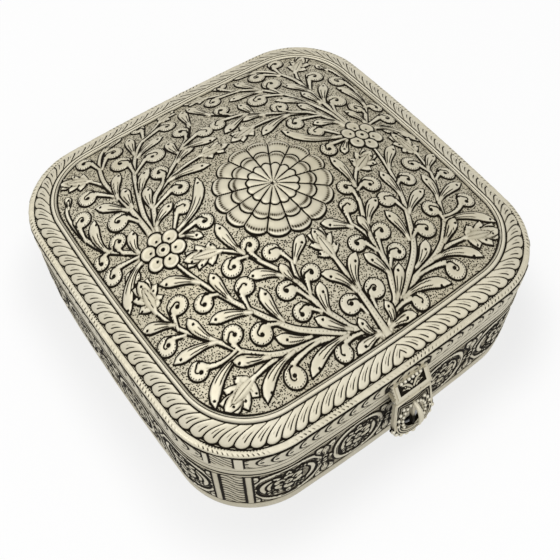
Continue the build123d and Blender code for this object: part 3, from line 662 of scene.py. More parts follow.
def half_panel(name, hand):
    """Left or right half of the domed panel, chased above and plain below."""
    corner = CORNER - (SIDE - PANEL_SIDE) * (1 - CORNER_EASE)
    tuck = 0.4
    fine, coarse = 216, 27

    def dome(u, v, out, drop):
        across, along = u - 1 if hand < 0 else u, 2 * v - 1
        x, y = panel_point(across, along, PANEL_SIDE + out, corner + out)
        edge = PANEL_SIDE * (1 - maximum(abs(across), abs(along)))
        return x, y, dome_height(x, y, DOME_REACH - drop, DOME_RISE - drop), edge

    def chased(u, v):
        x, y, height, edge = dome(u, v, tuck, 0)
        rise, dark, ground, worn = panel_pattern(x, y).finish()
        return stack([x, y, height + rise], -1), maximum(dark, mark(edge - 0.3, 0.7)), ground, worn

    def plain(u, v):
        return stack(dome(u, v, 0, SHEET)[:3], -1), 0.1, 0, 0

    bm = relief_grid(fine, 2 * fine, chased)
    below = relief_grid(coarse, 2 * coarse, plain)
    bmesh.ops.subdivide_edges(below, edges=open_edges(below), cuts=fine // coarse - 1)
    take_in(bm, as_mesh("below", below))
    bmesh.ops.bridge_loops(bm, edges=open_edges(bm))
    as_piece(name, bm, "lid", chased_silver, "lid_panel")


# ---- Gadrooned border, moulding and rim ----

BORDER_SIDE = SIDE - BORDER_FOOT - BORDER_WIDTH / 2
BORDER_CORNER = CORNER - (BORDER_FOOT + BORDER_WIDTH / 2) * (1 - CORNER_EASE)
LOBE_PITCH = 8 * sum(side_lengths(BORDER_SIDE, BORDER_CORNER)) / LOBES


def border_pattern(run, inset, height):
    """Curved lobes with round heads outward, leaning away from the middle of the front."""
    w = (inset - BORDER_FOOT) / BORDER_WIDTH
    wave = abs(run) / LOBE_PITCH + 1.4 * clip(w, 0, 1.1) ** 2.1
    share = wave % 1
    across = abs(share - 0.5) * 2
    head = 0.015 + 0.23 * lobe_end(across)
    depth = (w - head) * BORDER_WIDTH
    body = clip(depth / 0.3 + 0.5, 0, 1)
    gap = (1 - across) * LOBE_PITCH / 2
    uneven = 0.5 + 0.5 * sin(np.floor(wave) * 2.4)
    needle = mark((share - 0.40) * LOBE_PITCH, 0.30) * between(w, 0.22, 0.74 + 0.12 * uneven, 0.1, 0.2)
    facet = mark((share - 0.66) * LOBE_PITCH, 0.24) * between(w, 0.34, 0.62 + 0.2 * uneven, 0.1, 0.2)
    rise = body * (0.15 + (0.5 + 0.3 * share) * rounded(gap / 1.15) * rounded(depth / 1.3))
    rise = rise - 0.3 * needle - 0.15 * facet
    dark = strongest(mark(gap, 0.36) * body, mark(depth + 0.15, 0.42), needle, facet * (0.45 + 0.3 * uneven),
                     0.75 * (w < head - 0.03) * (w > 0.02), mark((1 - w) * BORDER_WIDTH, 0.35))
    rise = rise * ease((1.02 - w) / 0.06)
    return rise, dark, 0, clip(rise * 1.1 - 0.45, 0, 1) * (1 - dark)


def border_profile():
    w = linspace(0, 1, BORDER_ROWS)
    top = np.c_[BORDER_FOOT + BORDER_WIDTH * w, RIM_TOP + BORDER_RISE * (1.56 * w - 0.56 * w**2)]
    ledge = [(16.0, PANEL_FOOT - 0.05), (16.0, PANEL_FOOT - SHEET), (12.6, PANEL_FOOT - SHEET), (8.0, 69.2),
             (4.6, RIM_TOP)]
    return np.vstack([top, ledge])


def rim_pattern(run, inset, height):
    """Worn flat wire with short slanted strokes that come and go in groups."""
    away = abs(run)
    group = 0.5 + 0.5 * sin(run * 0.21) * sin(run * 0.083 + 1)
    top = (height > SKIRT_TOP + 0.3) & (inset < 3.3)
    faint = strokes(away - (inset - 1.2) * 0.8, 2.2, 0.32) * between(inset, 0.3, 1.7, 0.3)
    bold = strokes(away - inset * 0.3, 1.45, 0.36) * ease((inset - 2.0 - 0.7 * (1 - group)) / 0.35)
    cut = maximum(faint * clip(1.3 * group - 0.1, 0, 0.8), 0.8 * bold * clip(1.9 * group - 0.5, 0.1, 1)) * top
    wobble = 0.06 * sin(run * 0.9) * sin(run * 0.37) * top
    foot = mark(inset - BORDER_FOOT, 0.38) * (height > RIM_TOP - 0.2)
    dark = strongest(cut, foot, mark(height - SKIRT_TOP, 0.3) * 0.7 * (inset < 1))
    return wobble - 0.18 * cut, dark, 0, 0.3 * top * (1 - dark)


def moulding_pattern(run, inset, height):
    """Plain moulding with a groove, darker where it meets the panel."""
    groove = mark(inset - BORDER_FOOT - BORDER_WIDTH - 1.8, 0.2)
    low = maximum(mark(height - PANEL_FOOT, 0.4), 0.8 * groove)
    return 0.05 * sin(run * 0.31) * sin(run * 0.117), low, 0, (1 - low) * 0.6


# ---- Skirt, wall and bands ----

def skirt_pattern(run, inset, height):
    """Row of overlapping round-ended leaves that point from the middle of each side to its corners."""
    dz = height - ((SKIRT_FOOT + SKIRT_TOP) / 2 + 0.2)
    pitch, arc = 6.6, 4.9
    bulge = arc - sqrt(maximum(arc**2 - clip(abs(dz), 0, arc) ** 2, 0))
    share = 1 - (abs(side_run(run)) + bulge * where(dz < 0, 1.9, 1.1)) / pitch % 1
    share = where(share >= 1, 0, share)
    edge = share * pitch
    square = sqrt(maximum(1 - (dz / arc) ** 2, 0.04))
    border = minimum(edge, pitch - edge) * (0.35 + 0.65 * square)
    inside = ease((4.75 - abs(dz)) / 0.4)
    vein = mark((edge - 1.7) * square, 0.26)
    high, low = vein * between(dz, 1.2, 4.0, 0.5), vein * between(-dz, 1.2, 4.0, 0.5)
    seed = ease((0.85 - hypot((edge - 2.3) * 0.7, dz * 1.1)) / 0.3)
    # Painted shadow of the clasp's bracket, with some oxide, on the lower skirt to each side of it
    painted_bracket_shadow = ease((15.5 - abs(run)) / 4) * (abs(run) > 9) * ease((62.5 - height) / 3)
    rise = inside * (0.1 + 0.45 * rounded(edge * square / 1.2) * (1 - 0.65 * share))
    rise = rise - 0.2 * maximum(high, seed)
    dark = maximum(mark(border, 0.58), 0.3 * exp(-(pitch - edge) * square / 0.9)) * inside
    dark = strongest(dark, high * 0.6, low * 0.6, seed, mark(abs(dz) - 4.95, 0.55) * 0.9, painted_bracket_shadow * 0.95,
                     0.06)

    # Corner group: two plain strips with a hatched panel between them
    c = corner_run(run)
    group = between(c, -12.2, 6.9, 0.3)
    strips = maximum(between(c, -11.6, -8.8, 0.25), between(c, 2.1, 6.3, 0.25))
    hatch = strokes(c * 0.75 + height, 2.9, 0.42) * (1 - strips) * between(c, -8.6, 1.9, 0.3) * inside
    posts = strongest(*(mark(c - post, 0.5) for post in (-11.9, -8.6, 1.9, 6.6)))
    rise = over(group, rise, 0.25 + 0.35 * strips - 0.2 * hatch)
    dark = over(group, dark, maximum(hatch * 0.95, posts))
    dark = strongest(dark, mark(height - SKIRT_TOP, 0.45) * 0.8, mark(height - SKIRT_FOOT, 0.45) * 0.8)
    rise = rise * between(height, SKIRT_FOOT, SKIRT_TOP, 0.5)
    return rise, dark, 0, clip(rise * 2.0 - 0.4, 0, 1) * (1 - dark)


def cartouche(work, middle, half, hand):
    """Double-lined oval filled with leaves and flowers."""
    tall = 15.6
    turns = linspace(0, 2 * pi, 49)
    c, s = cos(turns), sin(turns)
    oval = np.c_[middle + half * sign(c) * abs(c) ** 0.8, WALL_MIDDLE + tall * sign(s) * abs(s) ** 0.8]
    work.frond(oval, [1.55, 1.55], 0.001, 0.001, height=0.85)
    at, gap, _ = work.along(oval, 2)
    inward = hypot((work.x[at] - middle) / half, (work.y[at] - WALL_MIDDLE) / tall) < 1
    work.cut(at, where(inward, gap - 0.45, 9), 0.3, 1.0, 0.3)
    for way, gap, wide in ((1, 4.2, 1.35), (1, 7.2, 1.1), (-1, 4.2, 1.35)):
        turns = radians(linspace(-72, 72, 25))
        side = polar((middle, WALL_MIDDLE), hand * way * (half - gap), turns, tall - gap)
        work.frond(side, [0.2, wide, wide * 1.15, wide, 0.2], 0.01, 0.02, height=0.8)
    for px, pz in ((-0.5, -0.62), (0.55, -0.6), (-0.45, 0.66), (0.5, 0.62), (0.05, -0.82), (0.02, 0.84)):
        tip = array([middle + hand * half * px * 0.95, WALL_MIDDLE + tall * pz])
        base = array([middle + hand * half * px * 0.3, WALL_MIDDLE + tall * pz * 0.25])
        work.bud(base, tip, array([0, sign(pz)]), base * 0.25 + tip * 0.75)
    for px, pz, size in ((0.42, -0.42, 0.72), (-0.3, -0.55, 0.6), (-0.35, 0.5, 0.62), (0.02, 0.08, 1.4)):
        place = (middle + hand * half * px, WALL_MIDDLE + tall * pz)
        work.flower(place, 3.6 * size, 2.2 * size, 6, 1.8 * size, 90 + 20 * px, 0.3)


def wall_chasing(runs, heights):
    """Chasing of one side of the base, from corner to corner, that the other sides repeat."""
    work = Chasing(runs, heights, 0.58)
    for hand in (-1, 1):
        cartouche(work, hand * 65, 17.2, hand)
        cartouche(work, hand * 26, 13.2, hand)
        for joint in (45.4, 84.5, 8.5):
            for up in (-1, 1):
                base = (hand * joint, WALL_MIDDLE + up * 2.5)
                for aside, high in ((-5.2, 16.5), (5.2, 16.5), (0, 15)):
                    tip = (hand * (joint + aside), WALL_MIDDLE + up * high)
                    work.bud(base, tip, array([0, up]), (hand * (joint + aside * 0.75), WALL_MIDDLE + up * 13))
            work.flower((hand * joint, WALL_MIDDLE), 2.9, 1.75, 4, 1.5, 0, 0.3)
    work.flower((0, WALL_MIDDLE), 4.6, 2.9, 6, 2.4)
    return work


def wall_pattern(run, inset, height):
    """Chased sides between corner groups, framed by a rail above and below."""
    rise, dark, ground, worn = wall_chasing(side_run(run), height).finish()
    c = corner_run(run)
    away = abs(c)
    group = ease((10.0 - away) / 0.3)
    strips = between(away, 5.5, 9.3, 0.25)
    wave = height + sin(c * 0.6) + c * 0.42 + 0.25 * sin(height * 1.3)
    hatch = strokes(wave, 3.3, 0.52) * ease((5.3 - away) / 0.3)
    posts = maximum(mark(away - 5.5, 0.72), mark(away - 9.4, 0.72))
    rise = over(group, rise, 0.3 + 0.45 * strips - 0.25 * hatch)
    dark = over(group, maximum(dark, 0.14 + 0.24 * ground), maximum(hatch, posts))
    edge = minimum(height - FOOT_TOP, WALL_TOP - height)
    frame_band = ease((1.9 - edge) / 0.25)
    rail = maximum(mark(edge - 1.9, 0.4), mark(edge, 0.45))
    rise = (over(frame_band, rise, 0.55) - 0.25 * rail) * 0.65 * ease(edge / 0.4)
    dark = maximum(dark * (1 - frame_band), rail * 0.9)
    ground = ground * (1 - group) * (1 - frame_band) * (edge > 1.7)
    return rise, dark, ground, worn * (1 - group)


def chased_sheet(low, high, rows, sheet):
    """Closed profile of an upright sheet with chased rows outside."""
    return [(0, height) for height in linspace(low, high, rows)] + [(sheet, high), (sheet, low)]


def plain_band(low, high, sheet, soft=0.35):
    """Closed profile of a plain band with softened outer edges."""
    return [(soft, low), (soft * 0.3, low + soft * 0.3), (0, low + soft), (0, (low + high) / 2),
            (0, high - soft), (soft * 0.3, high - soft * 0.3), (soft, high), (sheet, high), (sheet, low)]


def band_pattern(run, inset, height):
    """Plain band, darker along its softened edges."""
    outer = inset < 0.5
    wobble = 0.05 * sin(run * 0.23) * sin(run * 0.071 + 2) * outer
    return wobble, (inset > 0.05) * 0.68 * outer + 0.12, 0, 0.35 * outer


# ---- Clasp ----

CLASP_OUT = 4.2
BRACKET_RUN = 4.831
BRACKET_FALL = 8.239
BRACKET_LENGTH = hypot(BRACKET_RUN, BRACKET_FALL)
HASP_TILT = radians(10)
HASP_FACE = 1.0
HASP_ROUND = 12.4
ROUND_MIDDLE = -20.6
WINDOW_MIDDLE = -19.25
WINDOW_WIDE, WINDOW_TALL = 5.75, 8.9
SUNK = 0.3    # how far the rim of a laid-on sheet goes down into what carries it


def on_bracket(across, down, out):
    """Point of the bracket's sloping face, from the middle of its top edge."""
    y = -SIDE - 1.0 - (BRACKET_RUN * down + BRACKET_FALL * out) / BRACKET_LENGTH
    z = SEAM + 9.0 + (BRACKET_RUN * out - BRACKET_FALL * down) / BRACKET_LENGTH
    return stack(np.broadcast_arrays(across, y, z), -1)


def on_hasp(across, up, out):
    """Point of the hasp, from the middle of its barrel."""
    y = -SIDE - CLASP_OUT + up * sin(HASP_TILT) - out * cos(HASP_TILT)
    return stack(np.broadcast_arrays(across, y, SEAM + up * cos(HASP_TILT) + out * sin(HASP_TILT)), -1)


def bracket_chasing(u, v):
    """Toothed light strips at the sides and foot of a dark field with four curled leaves."""
    across, down = (u - 0.5) * 18.6, 0.5 + v * 8.5
    wide = abs(across)
    work = Chasing(across, -down, 0.3)
    for hand in (-1, 1):
        long = arch((hand * 0.6, -5.9), (hand * 2.6, -2.2), (hand * 6.2, -2.4))
        short = arch((hand * 2.0, -6.2), (hand * 3.6, -4.2), (hand * 6.4, -4.9))
        work.frond(long, [0.5, 0.8, 0.9, 0.7, 0.1], 0.05, height=0.45)
        work.frond(short, [0.4, 0.7, 0.7, 0.1], 0.05, height=0.45)
        work.disc((hand * 4.0, -4.0), 0.55, 0.45)
    work.disc((0, -3.2), 0.9, 0.5)
    rise, dark, ground = (grid.reshape(u.shape) for grid in (work.rise, work.dark, work.ground))
    notch = strokes(down, 1.06, 0.24) * ease((7.75 - wide) / 0.3)
    strip = maximum(ease((wide - 7.2) / 0.2), ease((down - 6.9) / 0.2))
    line = maximum(mark(wide - 7.3, 0.32) * (down < 7.0), mark(down - 6.95, 0.28) * (wide < 7.4))
    dark = maximum(dark, ground * 0.95) * (1 - strip)
    dark = strongest(dark, line, notch * (wide > 6.6) * (down < 7.2))
    rim = maximum(abs(u - 0.5), abs(v - 0.5)) > 0.5 - 1e-6
    out = where(rim, -SUNK, 0.12 + over(strip, rise, 0.45) - 0.25 * line)
    return on_bracket(across, down, out), dark, 0, 0.5 * strip * (1 - dark)


def hasp_reach(turn):
    """Distance from the middle of the window to the edge of the hasp, in a direction."""
    c, s = abs(cos(turn)), sin(turn)
    side = 11.766 / (c + 0.0989 * s)
    top = where(s > 0.05, 16.35 / maximum(s, 0.05), 99)
    drop = WINDOW_MIDDLE - ROUND_MIDDLE
    low = -drop * s + sqrt((drop * s) ** 2 + 11.9**2 - drop**2)
    return where(WINDOW_MIDDLE + low * s < ROUND_MIDDLE, low, minimum(side, top))


def hasp_chasing(u, v):
    """Dark sheet round the window with a light strip along its edge and curled lines inside."""
    turn = u * 2 * pi
    near = WINDOW_WIDE * WINDOW_TALL / hypot(WINDOW_TALL * cos(turn), WINDOW_WIDE * sin(turn))
    far = hasp_reach(turn)
    reach = near + (far - near) * v
    edge = far - reach
    strip = ease((1.25 - edge) / 0.25) * ease((sin(turn) + 0.45) / 0.15)
    lip = ease((0.55 - (reach - near)) / 0.2)
    curl = strokes(edge * 0.8 + 1.2 * sin(3 * turn), 1.7, 0.42) * (1 - strip) * (1 - lip) * (edge > 1.5)
    light = strongest(strip, lip, curl * 0.75)
    out = HASP_FACE + where(abs(v - 0.5) > 0.5 - 1e-6, -SUNK, 0.12 + 0.3 * light)
    points = on_hasp(reach * cos(turn), WINDOW_MIDDLE + reach * sin(turn), out)
    return points, maximum(0.95 * (1 - light), mark(edge - 1.5, 0.35)), 0, 0.4 * light


def pull_horn(u, v):
    """Curved horn that springs from above the window and hangs in front of its rib."""
    turn = u * 2 * pi
    ends = [(0.8, -8.3), (6.6, -8.6), (9.0, -18.4), (3.3, -23.9)]
    share = [(1 - v) ** 3, 3 * v * (1 - v) ** 2, 3 * v**2 * (1 - v), v**3]
    out, up = (sum(s * p[axis] for s, p in zip(share, ends)) for axis in (0, 1))
    flow_out, flow_up = np.gradient(out, axis=1), np.gradient(up, axis=1)
    flow = maximum(hypot(flow_out, flow_up), 1e-9)
    wide, thick = (interp(v, [0, 0.04, 0.35, 0.7, 0.96, 1], sizes)
                   for sizes in ([0.5, 1.0, 1.35, 1.45, 0.8, 0.1], [0.4, 0.8, 1.0, 0.95, 0.6, 0.1]))
    out = out - thick * sin(turn) * flow_up / flow
    up = up + thick * sin(turn) * flow_out / flow
    return on_hasp(wide * cos(turn), up, out), 0.05, 0, 0.5


def add_beads(bm, points, size):
    """Small balls soldered on at some points."""
    for point in points:
        bmesh.ops.create_icosphere(bm, subdivisions=2, radius=size * MILLIMETRE,
                                   matrix=Matrix.Translation(Vector(point * MILLIMETRE)))


def make_clasp():
    """Reliefs and beads that lie on the bracket and on the hasp, and the horn of its pull."""
    leaves = relief_grid(124, 56, bracket_chasing)
    bmesh.ops.holes_fill(leaves, edges=open_edges(leaves), sides=0)
    as_piece("bracket_leaves", leaves, "lid", chased_silver)
    row = bmesh.new()
    add_beads(row, on_bracket(linspace(-5.6, 5.6, 6), 0.75, 0.45), 0.95)
    as_piece("bracket_beads", row, "lid", bead_silver)

    sheet = relief_grid(200, 22, hasp_chasing)
    join_seam(sheet)
    bmesh.ops.bridge_loops(sheet, edges=open_edges(sheet))
    as_piece("hasp_curls", sheet, "hasp", chased_silver)
    horn = relief_grid(24, 30, pull_horn)
    join_seam(horn)
    bmesh.ops.holes_fill(horn, edges=open_edges(horn), sides=0)
    as_piece("pull_horn", horn, "hasp", chased_silver, "hasp_pull")

    # Nine beads round the foot of the hasp, a ring round its window and a short row at each shoulder
    beads = bmesh.new()
    turn = radians(arange(-4, 5) * 19)
    foot = on_hasp(HASP_ROUND * sin(turn), ROUND_MIDDLE - HASP_ROUND * cos(turn), 0.5)
    add_beads(beads, foot[[0, 1, 2, 3, 5, 6, 7, 8]], 1.25)
    add_beads(beads, foot[4:5], 1.6)
    for low, high, count, wide, tall, size in (
            (-28, 208, 15, 7.0, 10.2, 0.85), (-2, 50, 4, 9.7, 13.4, 0.95), (130, 182, 4, 9.7, 13.4, 0.95)):
        across, up = polar((0, WINDOW_MIDDLE), wide, radians(linspace(low, high, count)), tall).T
        add_beads(beads, on_hasp(across, up, HASP_FACE + 0.45), size)
    as_piece("hasp_beads", beads, "hasp", bead_silver)


# ---- Finishes ----

def feed(tree, value, slot):
    """Set a slot to a constant, or link it to what another node gives."""
    if isinstance(value, bpy.types.NodeSocket):
        tree.links.new(value, slot)
    else:
        slot.default_value = value


def add_node(tree, kind, feeds=(), **settings):
    """Shader node with its settings and what goes into its slots."""
    node = tree.nodes.new("ShaderNode" + kind)
    for key, value in settings.items():
        setattr(node, key, value)
    for slot, value in dict(feeds).items():
        feed(tree, value, node.inputs[slot])
    return node


def maths(tree, kind, a, b=0.5, c=None, clamp=False):
    """Result of a sum on sockets or numbers."""
    feeds = {slot: value for slot, value in enumerate((a, b, c)) if value is not None}
    return add_node(tree, "Math", feeds, operation=kind, use_clamp=clamp).outputs[0]


def blend(tree, share, a, b, kind="MIX"):
    """Mix of two sockets or colours."""
    return add_node(tree, "Mix", {0: share, 6: a, 7: b}, data_type="RGBA", blend_type=kind).outputs[2]


def antique_silver():
    """Shared effect: silver with oxide in its lines, a stippled ground, wear and tarnish."""
    group = bpy.data.node_groups.new("antique_silver", "ShaderNodeTree")
    for way, names in (("INPUT", ("Silver", "Dark", "Ground", "Worn")),
                       ("OUTPUT", ("Colour", "Roughness", "Metallic", "Height"))):
        for name in names:
            kind = "Color" if name in ("Silver", "Colour") else "Float"
            group.interface.new_socket(name=name, in_out=way, socket_type="NodeSocket" + kind)
    given = group.nodes.new("NodeGroupInput").outputs
    place = add_node(group, "TexCoord").outputs["Object"]
    calc, mix = partial(maths, group), partial(blend, group)

    def noise(scale, detail, rough):
        feeds = {"Vector": place, "Scale": scale, "Detail": detail, "Roughness": rough}
        return add_node(group, "TexNoise", feeds).outputs["Fac"]

    cloud, grain, blotch = noise(28, 3, 0.5), noise(1500, 2, 0.6), noise(160, 3, 0.6)
    cells = add_node(group, "TexVoronoi", {"Vector": place, "Scale": 1180, "Randomness": 0.85})
    pits = calc("MULTIPLY_ADD", cells.outputs["Distance"], -5.0, 2.45, clamp=True)
    stipple = calc("MULTIPLY", calc("MULTIPLY_ADD", pits, 0.82, 0.08), given["Ground"])

    # Oxide: sharp in the lines, soft beside them, clouded all over and rubbed off the high edges
    fog = calc("MULTIPLY_ADD", blotch, 0.5, -0.25)
    lines = calc("ADD", given["Dark"], calc("MULTIPLY", fog, 0.5))
    lines = calc("MULTIPLY_ADD", lines, 2.7, -0.62, clamp=True)
    oxide = calc("MAXIMUM", calc("MAXIMUM", lines, calc("MULTIPLY", given["Dark"], 0.55)), stipple)
    oxide = calc("ADD", oxide, calc("MULTIPLY", fog, 0.35))
    oxide = calc("SUBTRACT", oxide, calc("MULTIPLY", given["Worn"], 0.1), clamp=True)

    tarnish = mix(1.0, given["Silver"], (0.88, 0.85, 0.76, 1), "MULTIPLY")
    colour = mix(calc("MULTIPLY_ADD", cloud, 1.6, -0.45, clamp=True), given["Silver"], tarnish)
    colour = mix(calc("MULTIPLY", given["Worn"], 0.45), colour, (0.86, 0.82, 0.69, 1))
    colour = mix(calc("MULTIPLY", oxide, 1.5, clamp=True), colour, (0.074, 0.056, 0.026, 1))
    colour = mix(calc("MULTIPLY_ADD", oxide, 2.8, -1.4, clamp=True), colour, (0.007, 0.005, 0.002, 1))
    rough = calc("ADD", calc("MULTIPLY_ADD", oxide, 0.3, 0.47), calc("MULTIPLY", grain, 0.12))
    metallic = calc("MULTIPLY_ADD", oxide, -0.8, 0.66, clamp=True)
    lumps = calc("ADD", calc("MULTIPLY", grain, 0.35), calc("MULTIPLY", blotch, 0.9))
    lumps = calc("SUBTRACT", lumps, calc("MULTIPLY", stipple, 1.6))
    for value, slot in zip((colour, rough, metallic, lumps), group.nodes.new("NodeGroupOutput").inputs):
        feed(group, value, slot)
    return group


SILVER_GROUP = antique_silver()


def silver_finish(name, silver=(0.585, 0.545, 0.43, 1), dark=0.0, worn=0.2, bump=0.12, masks=()):
    """Material for a silver piece; chased pieces take their masks from their own attributes."""
    made = bpy.data.materials.new(name)
    made.use_nodes = True
    tree = made.node_tree
    given = {"Silver": silver, "Dark": dark(tree) if callable(dark) else dark, "Worn": worn}
    for key in masks:
        given[key.capitalize()] = add_node(tree, "Attribute", attribute_name=key).outputs["Fac"]
    effect = add_node(tree, "Group", given, node_tree=SILVER_GROUP).outputs
    lift = add_node(tree, "Bump", {"Strength": bump, "Distance": 0.0003, "Height": effect["Height"]})
    shader = tree.nodes["Principled BSDF"].inputs
    for value, slot in ((effect["Colour"], "Base Color"), (effect["Roughness"], "Roughness"),
                        (effect["Metallic"], "Metallic"), (lift.outputs["Normal"], "Normal")):
        feed(tree, value, shader[slot])
    shader["Specular IOR Level"].default_value = 0.12
    return made


def crescent_lines(tree):
    """Two dark lines that follow the crescent round the foot of the hasp."""
    feeds = {"Vector": add_node(tree, "TexCoord").outputs["Object"], "Rotation": (-HASP_TILT, 0, 0),
             "Location": tuple(on_hasp(0.0, ROUND_MIDDLE, 0.0) * MILLIMETRE)}
    onto = add_node(tree, "Mapping", feeds, vector_type="TEXTURE").outputs["Vector"]
    part = add_node(tree, "SeparateXYZ", {0: onto}).outputs
    square = maths(tree, "ADD", *(maths(tree, "MULTIPLY", part[axis], part[axis]) for axis in "XZ"))
    radius = maths(tree, "MULTIPLY", maths(tree, "SQRT", square), 1 / MILLIMETRE)
    gaps = [maths(tree, "ABSOLUTE", maths(tree, "SUBTRACT", radius, line)) for line in (10.15, 8.9)]
    return maths(tree, "MAXIMUM", *(maths(tree, "MULTIPLY_ADD", gap, -2.6, 1.25, clamp=True) for gap in gaps))


def painted_hasp_shade(tree):
    """Painted shade on the hasp: light at its knuckle, darkening down towards its foot."""
    part = add_node(tree, "SeparateXYZ", {0: add_node(tree, "TexCoord").outputs["Object"]}).outputs
    return maths(tree, "MULTIPLY", maths(tree, "MULTIPLY_ADD", part["Z"], -140.0, 4.9, clamp=True), 0.75)


chased_silver = silver_finish("chased_silver", masks=MASKS)
plain_silver = silver_finish("plain_silver", dark=0.06, bump=0.08)
inner_silver = silver_finish("inner_silver", (0.55, 0.53, 0.46, 1), 0.12, 0.0, 0.1)
wire_silver = silver_finish("wire_silver", (0.52, 0.50, 0.44, 1), 0.1, 0.1, 0.06)
bead_silver = silver_finish("bead_silver", (0.66, 0.63, 0.53, 1), 0.0, 0.7, 0.05)
oxidised_silver = silver_finish("oxidised_silver", (0.5, 0.47, 0.38, 1), 0.5, 0.0, 0.2)
crescent_silver = silver_finish("crescent_silver", dark=crescent_lines, worn=0.3, bump=0.08)
# The hasp's finish carries painted shade, darker low on the hasp
hasp_silver = silver_finish("hasp_silver", dark=painted_hasp_shade, worn=0.3, bump=0.08)

# ---- Making the pieces ----

half_panel("panel_left", -1)
half_panel("panel_right", 1)

BORDER_PLAN = (BORDER_SIDE, BORDER_CORNER, CORNER_EASE)
closed_ring("border_gadroons", 2100, border_profile(), border_pattern, "lid", "lid_border", BORDER_ROWS,
            *BORDER_PLAN)

top_edge = PANEL_FOOT + MOULDING_RISE
moulding = [(BORDER_FOOT + BORDER_WIDTH + inset, height) for inset, height in (
    (0.05, PANEL_FOOT), (0.15, PANEL_FOOT + 0.7), (0.5, top_edge - 0.35), (0.9, top_edge), (1.45, top_edge),
    (1.8, top_edge - 0.3), (2.15, top_edge - 0.1), (2.5, top_edge - 0.4), (2.85, PANEL_FOOT + 0.7),
    (2.95, PANEL_FOOT))]
closed_ring("moulding", 700, moulding, moulding_pattern, "lid", "lid_moulding", None, *BORDER_PLAN)

rim = [(0.5, SKIRT_TOP), (0.12, SKIRT_TOP + 0.25), (0.0, SKIRT_TOP + 0.6), (0.2, SKIRT_TOP + 1.0),
       (0.7, RIM_TOP - 0.12), *((inset, RIM_TOP) for inset in (1.1, 1.5, 1.9, 2.3, 2.7, 3.2, RIM_WIDTH)),
       (RIM_WIDTH, SKIRT_TOP), (SHEET, SKIRT_TOP)]
closed_ring("rim_wire", 3000, rim, rim_pattern, "lid", "lid_rim")
skirt = chased_sheet(SKIRT_FOOT, SKIRT_TOP, SKIRT_ROWS, SHEET)
closed_ring("skirt_leaves", 1900, skirt, skirt_pattern, "lid", "lid_skirt", SKIRT_ROWS)
wall = chased_sheet(FOOT_TOP, WALL_TOP, WALL_ROWS, WALL_SHEET)
closed_ring("wall_chasing", 1580, wall, wall_pattern, "base", "base_wall", WALL_ROWS)
for name, low, high, sheet, body in (("foot_band", 0, FOOT_TOP, WALL_SHEET, "base"),
                                     ("top_band", WALL_TOP, SEAM, WALL_SHEET, "base"),
                                     ("edge_band", SEAM, SKIRT_FOOT, SHEET, "lid")):
    closed_ring(name, 420, plain_band(low, high, sheet), band_pattern, body, f"{body}_{name}")
make_clasp()

finishes = {"hasp_crescent": crescent_silver, "hasp_pull": bead_silver, "hasp_plate": hasp_silver,
            "catch_plate": oxidised_silver, "base_floor": inner_silver, "base_bezel": inner_silver,
            "hinge_pin_left": wire_silver, "hinge_pin_right": wire_silver, "clasp_pin": wire_silver,
            "catch_clip": wire_silver}
for node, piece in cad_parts.items():
    piece.data.materials.clear()
    piece.data.materials.append(finishes.get(node, plain_silver))

# ---- Floor, light and camera ----

def seen_share(tree):
    """1 for rays that show a thing, straight or by reflection, and 0 for those that only light others."""
    rays = add_node(tree, "LightPath").outputs
    shown = (rays[f"Is {kind} Ray"] for kind in ("Camera", "Glossy", "Transmission"))
    return reduce(partial(maths, tree, "MAXIMUM"), shown)


def lamp(name, place, size, power):
    """Round lamp that faces the middle of the box."""
    data = bpy.data.lights.new(name, "AREA")
    data.shape = "DISK"
    data.size = size
    data.energy = power
    made = add_object(name, data)
    made.location = place
    made.rotation_euler = (Vector((0, 0, 0.04)) - Vector(place)).to_track_quat("-Z", "Y").to_euler()


sheet = bmesh.new()
bmesh.ops.create_grid(sheet, x_segments=1, y_segments=1, size=3)
floor = add_object("floor", as_mesh("floor", sheet))
floor.location.z = -0.0001
floor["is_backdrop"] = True

# White paper with painted shade: a soft painted shadow round the foot of the box and a darker painted shadow
# spot behind the clasp
paper = bpy.data.materials.new("paper")
paper.use_nodes = True
tree = paper.node_tree
surface = tree.nodes["Principled BSDF"]
surface.inputs["Roughness"].default_value = 0.9
place = beside = add_node(tree, "TexCoord").outputs["Object"]
for operation, amount in (("ABSOLUTE", 0), ("SUBTRACT", 0.066), ("MAXIMUM", 0), ("LENGTH", 0)):
    step = add_node(tree, "VectorMath", {0: beside, 1: (amount, amount, 0)}, operation=operation)
    beside = step.outputs["Value" if operation == "LENGTH" else "Vector"]
# Painted shadow: the paper darkens towards the foot of the box
reach = {"Value": beside, "From Min": 0.036, "From Max": 0.070, "To Min": 0.90, "To Max": 1.0}
near = add_node(tree, "MapRange", reach, interpolation_type="SMOOTHSTEP").outputs["Result"]
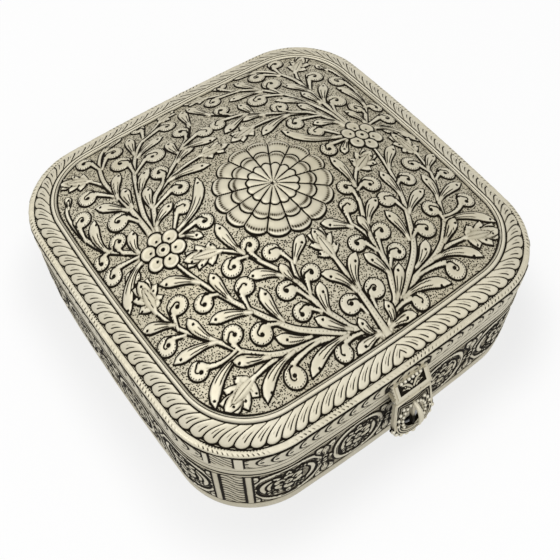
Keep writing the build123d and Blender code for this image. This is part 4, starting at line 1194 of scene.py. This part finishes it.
# Painted shadow: a darker spot on the paper behind the clasp, darkening both its colour and its glow
painted_clasp_shadow = {"Vector": place, "Location": (0.0085, -0.1015, 0), "Scale": (0.011, 0.0045, 1)}
painted_clasp_shadow = add_node(tree, "Mapping", painted_clasp_shadow, vector_type="TEXTURE").outputs["Vector"]
painted_clasp_shadow = add_node(tree, "TexGradient", {"Vector": painted_clasp_shadow}, gradient_type="SPHERICAL").outputs["Fac"]
tone = maths(tree, "MULTIPLY", near, maths(tree, "MULTIPLY_ADD", painted_clasp_shadow, -1.3, 1.0, clamp=True))
feed(tree, tone, surface.inputs["Base Color"])
glow = add_node(tree, "Emission", {"Color": tone})
share = maths(tree, "MULTIPLY", seen_share(tree), 0.84)
both = add_node(tree, "MixShader", {0: share, 1: surface.outputs[0], 2: glow.outputs[0]})
feed(tree, both.outputs[0], tree.nodes["Material Output"].inputs["Surface"])
floor.data.materials.append(paper)

world = bpy.data.worlds.new("studio")
bpy.context.scene.world = world
world.use_nodes = True
tree = world.node_tree
background = tree.nodes["Background"].inputs
background["Color"].default_value = (1, 1, 1, 1)
feed(tree, maths(tree, "MULTIPLY_ADD", seen_share(tree), 0.5, 0.5), background["Strength"])

lamp("key", (-0.30, 0.22, 1.05), 0.75, 4.6)
lamp("fill", (0.02, -0.85, 0.75), 0.8, 2.6)

# Camera: focal length in picture widths, then where it looks from, how far off and at what
FOCAL_SHARE = 822.93 / 560
azimuth, elevation, roll = radians(-34.99), radians(57.188), radians(-1.545)
DISTANCE = 0.386646
AIM = Vector((-0.018787, -0.030511, 0.0662))
camera_data = bpy.data.cameras.new("camera")
camera_data.sensor_width = 36
camera_data.lens = FOCAL_SHARE * camera_data.sensor_width
camera_data.clip_start = 0.01
camera = add_object("camera", camera_data)
back = Vector((sin(azimuth) * cos(elevation), -cos(azimuth) * cos(elevation), sin(elevation)))
right = Vector((cos(azimuth), sin(azimuth), 0))
up = back.cross(right)
right, up = right * cos(roll) + up * sin(roll), up * cos(roll) - right * sin(roll)
turned = Matrix((right, up, back)).transposed().to_4x4()
camera.matrix_world = Matrix.Translation(AIM + back * DISTANCE) @ turned
bpy.context.scene.camera = camera
bpy.context.scene.view_settings.view_transform = "Standard"

low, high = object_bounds()
